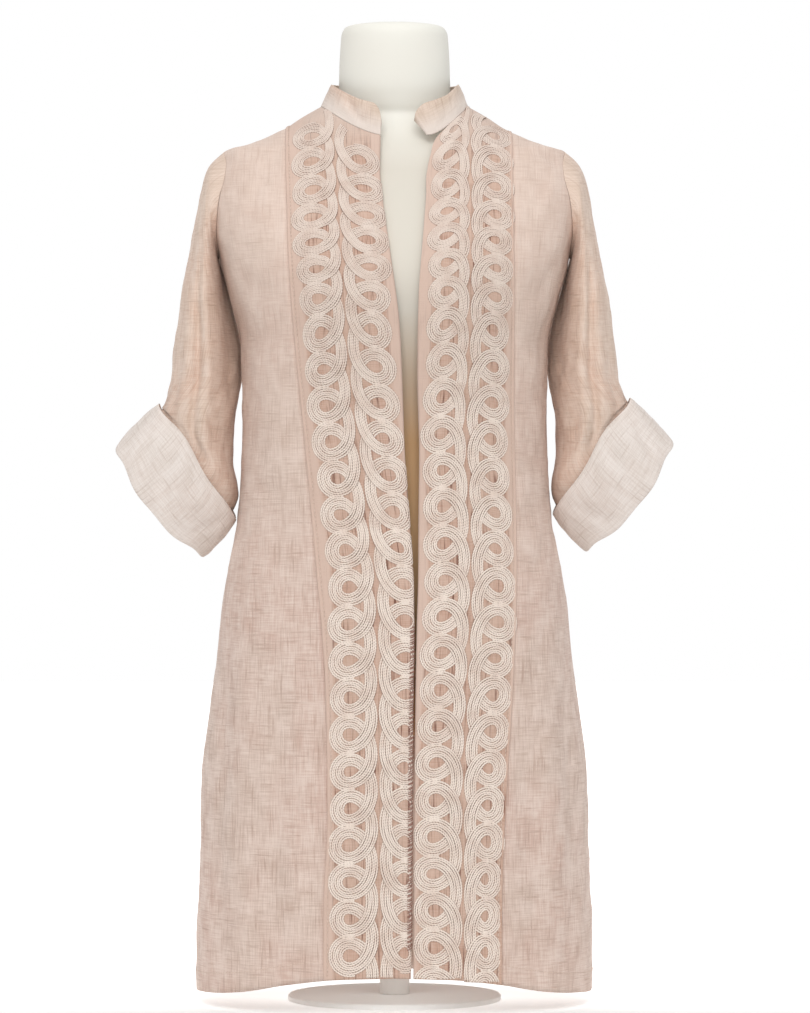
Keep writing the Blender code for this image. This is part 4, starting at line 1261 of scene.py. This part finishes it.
def linen(name, pink, beige, pale, slub, slub_share=0.7, weft_share=1.0, *washes):
    """Linen in four colours. Each wash is another colour, the way it fades in, from where to where, and how
    much of it there is."""
    material, tree, shader = new_material(name)
    place = put(tree, "ShaderNodeUVMap", {}, uv_map="cloth").outputs[0]
    look = put(tree, "ShaderNodeGroup", {}, node_tree=LINEN)
    tree.links.new(place, look.inputs["Place"])
    for label, colour in (("Pink", pink), ("Beige", beige), ("Pale", pale), ("Slub", slub)):
        look.inputs[label].default_value = srgb(*colour)
    look.inputs["Slub share"].default_value = slub_share
    look.inputs["Weft share"].default_value = weft_share
    colour = look.outputs["Colour"]
    for wash in washes:
        colour = washed(tree, colour, place, *wash)
    tree.links.new(colour, shader.inputs["Base Color"])
    shader.inputs["Roughness"].default_value = 0.92
    shader.inputs["Specular IOR Level"].default_value = 0.15
    shader.inputs["Sheen Weight"].default_value = 0.12
    bumped(tree, shader, look.outputs["Height"], *LINEN_BUMP)
    return material


def washed(tree, colour, place, other, way, low, high, most):
    """A colour faded towards another: by height (Z), by distance up the piece, or towards its edges."""
    if way == "Z":
        place = put(tree, "ShaderNodeTexCoord", {}).outputs["Object"]
    axes = put(tree, "ShaderNodeSeparateXYZ", {0: place}).outputs
    value = axes["Z" if way == "Z" else "Y"]
    if way == "edge":
        value = math_node(tree, "ABSOLUTE", math_node(tree, "SUBTRACT", axes["X"], BAND_MIDDLE))
    return mixed(tree, ranged(tree, value, low, high, 0.0, most), colour, srgb(*other))


def cord_material(name, cream, warm, side, *washes):
    """Cord or thread in three colours, the third being painted shade down its sides, with washes as on
    linen.
    """
    material, tree, shader = new_material(name)
    uv = put(tree, "ShaderNodeUVMap", {}, uv_map="cloth").outputs[0]
    axes = put(tree, "ShaderNodeSeparateXYZ", {0: uv}).outputs
    place = put(tree, "ShaderNodeTexCoord", {}).outputs["Object"]
    look = put(tree, "ShaderNodeGroup", {}, node_tree=CORD)
    for label, value in (("Along", axes["X"]), ("Round", axes["Y"]), ("Place", place)):
        tree.links.new(value, look.inputs[label])
    for label, colour in (("Cream", cream), ("Warm", warm), ("Side", side)):
        look.inputs[label].default_value = srgb(*colour)
    colour = look.outputs["Colour"]
    for wash in washes:
        colour = washed(tree, colour, uv, *wash)
    tree.links.new(colour, shader.inputs["Base Color"])
    shader.inputs["Roughness"].default_value = 0.85
    shader.inputs["Specular IOR Level"].default_value = 0.2
    bumped(tree, shader, look.outputs["Height"], *CORD_BUMP)
    return material


def plain(name, colour, other, roughness, lit=False, *washes):
    """A smooth finish with faint clouding of its colour, and washes as on linen, which on the form are
    painted shade. One that is lit glows a little, behind the jacket."""
    material, tree, shader = new_material(name)
    place = put(tree, "ShaderNodeTexCoord", {}).outputs["Object"]
    noise = put(tree, "ShaderNodeTexNoise", {"Vector": place, "Scale": 7.0, "Detail": 2.0}).outputs[0]
    shade = mixed(tree, ranged(tree, noise, 0.35, 0.65), srgb(*colour), srgb(*other))
    shader.inputs["Roughness"].default_value = roughness
    shader.inputs["Specular IOR Level"].default_value = 0.3
    if lit:
        axes = put(tree, "ShaderNodeSeparateXYZ", {0: place}).outputs
        shade = mixed(tree, ranged(tree, axes["Y"], *FLOOR_BEFORE_END), srgb(*FLOOR_BEFORE), shade)
        shader.inputs["Emission Color"].default_value = (1, 1, 1, 1)
        tree.links.new(ranged(tree, axes["Y"], *FLOOR_GLOW), shader.inputs["Emission Strength"])
    for wash in washes:
        shade = washed(tree, shade, place, *wash)
    tree.links.new(shade, shader.inputs["Base Color"])
    return material


LINEN = linen_group()
CORD = cord_group()
body_linen = linen(
    "body linen", (208, 180, 167), (206, 184, 171), (228, 209, 198), (174, 143, 128), 0.75, 1.0,
    ((231, 210, 196), "Z", 0.42, 0.78, 0.45),
)
sleeve_linen = linen("sleeve linen", (217, 187, 169), (215, 193, 176), (233, 213, 199), (182, 151, 131))
# The band's ground is darker than the fronts: partly painted shade among the cords, partly cloth drawn in
# by the stitching. It is lighter again towards the outer margin, where no cords shade it, and paler near
# the top.
shaded_ground_linen = linen(
    "band ground with painted shade", (196, 160, 142), (197, 165, 147), (213, 185, 169), (126, 90, 77), 1.5, 0.25,
    ((220, 204, 193), "Z", 0.900, 0.950, 0.60), ((217, 192, 178), "edge", 0.0470, 0.0505, 0.85),
)
collar_linen = linen(
    "collar linen", (214, 186, 168), (212, 192, 174), (229, 210, 196), (178, 149, 130), 0.7, 1.0,
    ((232, 221, 213), "up", 0.026, 0.006, 0.85),
)
cuff_linen = linen("cuff linen", (222, 209, 201), (221, 211, 203), (236, 227, 221), (194, 177, 166), 0.7)
# The third colour of each cord and thread is painted shade down its sides, which draws dark lines between
# the cords all round the loops.
cord_cream = cord_material(
    "cream cord", (244, 230, 219), (233, 215, 203), (136, 106, 92), ((150, 116, 101), "Z", 0.56, 0.80, 0.19)
)
thread_pale = cord_material("pale thread", (226, 206, 192), (218, 196, 181), (200, 172, 155))
thread_dark = cord_material("dark thread", (184, 142, 128), (166, 124, 111), (138, 99, 88))
# The form's colour is painted darker below the neck and warm brown lower down: painted shade inside the
# jacket, warm as with light bounced from the linen.
shaded_form_finish = plain(
    "form", (240, 239, 231), (237, 234, 225), 0.55, False,
    ((216, 210, 198), "Z", 0.950, 0.890, 0.85), ((206, 162, 112), "Z", 0.740, 0.600, 0.92),
)
stand_finish = plain("stand", (251, 251, 249), (247, 247, 244), 0.45)
floor_finish = plain("floor", (246, 246, 245), (244, 244, 243), 0.9, True)


# The jacket


def dashes(line, normal, pitch, share):
    """Stitches along a line of points: each starts a pitch after the last, and covers a share of it."""
    length = lengths(line[:, None], 0)[:, 0]
    start = np.arange(pitch, length[-1] - pitch, pitch)
    at = start[:, None] + np.linspace(0, 1, STITCH_STEPS) * share * pitch
    points = np.stack([np.interp(at, length, line[:, k]) for k in range(3)], axis=-1)
    up = np.stack([np.interp(at, length, normal[:, k]) for k in range(3)], axis=-1)
    return points, unit(up)


def level_line(points, height):
    """Points and normals of a panel's grid at one distance up from its bottom edge."""
    v = lengths(points, 0)
    normal = normals(points)
    columns = range(points.shape[1])
    line = np.array([[np.interp(height, v[:, j], points[:, j, k]) for k in range(3)] for j in columns])
    out = np.array([[np.interp(height, v[:, j], normal[:, j, k]) for k in range(3)] for j in columns])
    return line, unit(out)


def add_stitches(name, line, normal, stitch, material):
    """A row of stitches of one kind along a line of points."""
    row = dashes(line, normal, stitch["pitch"], stitch["share"])
    size = stitch["half_width"], stitch["height"]
    return add_threads(name, *row, *size, material, STITCH_TAPER, STITCH_SIDES)


def edge_stitches(name, strip, material):
    """Stitches up a band beside its outer edge."""
    row = np.arange(len(strip["points"]), dtype=float)
    line, normal = on_strip(strip, row, strip["outer"] - EDGE_STITCH_INSET)
    return add_stitches(name, line + STITCH_LIFT * normal, normal, EDGE_STITCH, material)


def whipped_edge(name, strip, material):
    """Slanting stitches over a band's turned front edge, a little uneven in their spacing."""
    along = np.arange(WHIP_FIRST, WHIP_LAST, WHIP_PITCH)
    along = along + WHIP_UNEVEN * np.sin(WHIP_UNEVEN_RATE * np.arange(len(along)))
    way = np.linspace(0, 1, WHIP_STEPS)
    row = row_at(strip, WHIP_COLUMN, along[:, None] + WHIP_SLANT * way)
    front = np.interp(row, np.arange(len(strip["front"])), strip["front"])
    points, normal = on_strip(strip, row, front + ROLL_RADIUS + WHIP_INSET - WHIP_REACH * way)
    points = points + WHIP_LIFT * normal
    size = WHIP_HALF_WIDTH, WHIP_HEIGHT
    return add_threads(name, points, normal, *size, material, STITCH_TAPER, STITCH_SIDES)


up = panel_rows(PANEL_ROWS_BELOW, PANEL_ROWS_ARMHOLE)
columns = 1 - (1 - np.linspace(0, 1, FRONT_COLUMNS)) ** FRONT_COLUMN_POWER
lap = np.linspace(0, LAP_SHARE, LAP_COLUMNS)[:-1]
columns = np.concatenate([lap, LAP_SHARE + (1 - LAP_SHARE) * columns])
grid = np.meshgrid(columns, up)
front_right, right_outer = add_panel(
    "front_right_cloth", front_points(*grid, RIGHT_BAND), -1, RIGHT_FRONT_CREASES, 0.0, body_linen
)
front_left, left_outer = add_panel(
    "front_left_cloth", front_points(*grid, LEFT_BAND), -1, LEFT_FRONT_CREASES, 0.7, body_linen
)
half = 1 - (1 - np.linspace(0, 1, BACK_COLUMNS)) ** BACK_COLUMN_POWER
grid = np.meshgrid(np.concatenate([-half[:0:-1], half]), up)
back, back_outer = add_panel("back_cloth", back_points(*grid), 1, BACK_CREASES, 1.3, body_linen)

right_strip = band_strip(RIGHT_BAND, RIGHT_CENTRE)
left_strip = band_strip(LEFT_BAND, LEFT_CENTRE)
band_right = add_band("band_right_cloth", right_strip, shaded_ground_linen)
band_left = add_band("band_left_cloth", left_strip, shaded_ground_linen)
right_trim = [
    *add_cords("cords_right_outer", right_strip, RIGHT_COLUMNS[0], False, cord_cream),
    *add_cords("cords_right_front", right_strip, RIGHT_COLUMNS[1], False, cord_cream),
    edge_stitches("stitches_band_right", right_strip, thread_pale),
    whipped_edge("stitches_front_edge_right", right_strip, thread_dark),
]
left_trim = [
    *add_cords("cords_left_outer", left_strip, LEFT_COLUMNS[0], True, cord_cream),
    *add_cords("cords_left_front", left_strip, LEFT_COLUMNS[1], True, cord_cream),
    edge_stitches("stitches_band_left", left_strip, thread_pale),
]
collar = add_collar(collar_linen)
sleeve_right = add_sleeve("right", 0.0, 1.0, sleeve_linen)
sleeve_left = add_sleeve("left", 0.007, 0.85, sleeve_linen)
cuff_right = add_cuff("right", 0.0, cuff_linen)
cuff_left = add_cuff("left", -0.012, cuff_linen)
form = add_form(shaded_form_finish)

for name, outer in (("front_right", right_outer), ("front_left", left_outer), ("back", back_outer)):
    line = level_line(outer, HEM_DEPTH)
    add_stitches(f"stitches_hem_{name}", *line, HEM_STITCH, thread_pale)

# The stand's own nodes stay, with a finish
for name in ("stand_pole", "stand_base"):
    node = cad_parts[name]
    node.data.materials.clear()
    node.data.materials.append(stand_finish)

for obj, node in (
    (front_right, "front_right"), (front_left, "front_left"), (back, "back"),
    (band_right, "band_right"), (band_left, "band_left"), (collar, "collar"),
    (sleeve_right, "sleeve_right"), (sleeve_left, "sleeve_left"),
    (cuff_right, "cuff_right"), (cuff_left, "cuff_left"), (form, "dress_form"),
):
    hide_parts(node)


# The studio: how the surround darkens to the sides and before the jacket, and the floor's half width
SKY_ASIDE = 0.30, 0.95, 1.0, 0.35
SKY_BEFORE = -0.9, 0.2, 0.8, 1.0
FLOOR_HALF = 9


def area_light(name, place, aim, size, power, colour):
    """A soft square light that looks at a point."""
    light = bpy.data.lights.new(name, "AREA")
    light.size = size
    light.energy = power
    light.color = colour
    obj = bpy.data.objects.new(name, light)
    obj.location = place
    way = np.array(aim) - np.array(place)
    across = math.hypot(way[0], way[1])
    obj.rotation_euler = (math.atan2(across, -way[2]), 0, math.atan2(-way[0], way[1]))
    bpy.context.scene.collection.objects.link(obj)


def soft_sky():
    """A white surround that is darker to the sides and a little before the jacket, so that forms shade."""
    world = bpy.data.worlds.new("white studio")
    bpy.context.scene.world = world
    world.use_nodes = True
    tree = world.node_tree
    way = put(tree, "ShaderNodeTexCoord", {}).outputs["Generated"]
    axes = put(tree, "ShaderNodeSeparateXYZ", {0: way}).outputs
    aside = math_node(tree, "ABSOLUTE", axes["X"])
    before = ranged(tree, axes["Y"], *SKY_BEFORE)
    strength = math_node(tree, "MULTIPLY", ranged(tree, aside, *SKY_ASIDE), before)
    tree.links.new(strength, tree.nodes["Background"].inputs["Strength"])
    tree.nodes["Background"].inputs["Color"].default_value = (1, 1, 1, 1)


soft_sky()
area_light("key", (-0.1, -3.4, 2.7), (0, 0, 0.85), 2.2, 70, (1.0, 0.985, 0.97))
area_light("inside the skirt", (0, -0.055, 0.27), (0, -0.0551, 0), 0.12, 0.28, (0.90, 0.97, 1.0))
floor_mesh = bpy.data.meshes.new("floor")
corner_signs = (-1, -1), (1, -1), (1, 1), (-1, 1)
floor_mesh.from_pydata([(FLOOR_HALF * x, FLOOR_HALF * y, 0) for x, y in corner_signs], [], [(0, 1, 2, 3)])
floor_mesh.materials.append(floor_finish)
floor = bpy.data.objects.new("floor", floor_mesh)
bpy.context.scene.collection.objects.link(floor)

camera_data = bpy.data.cameras.new("camera")
camera_data.sensor_width = 36
camera_data.lens = 164.5
camera_data.clip_end = 50
camera = bpy.data.objects.new("camera", camera_data)
camera.location = (0.0113, -5.0, 0.532)
camera.rotation_euler = (math.pi / 2, 0, 0)
bpy.context.scene.collection.objects.link(camera)
bpy.context.scene.camera = camera
bpy.context.scene.view_settings.view_transform = "Standard"
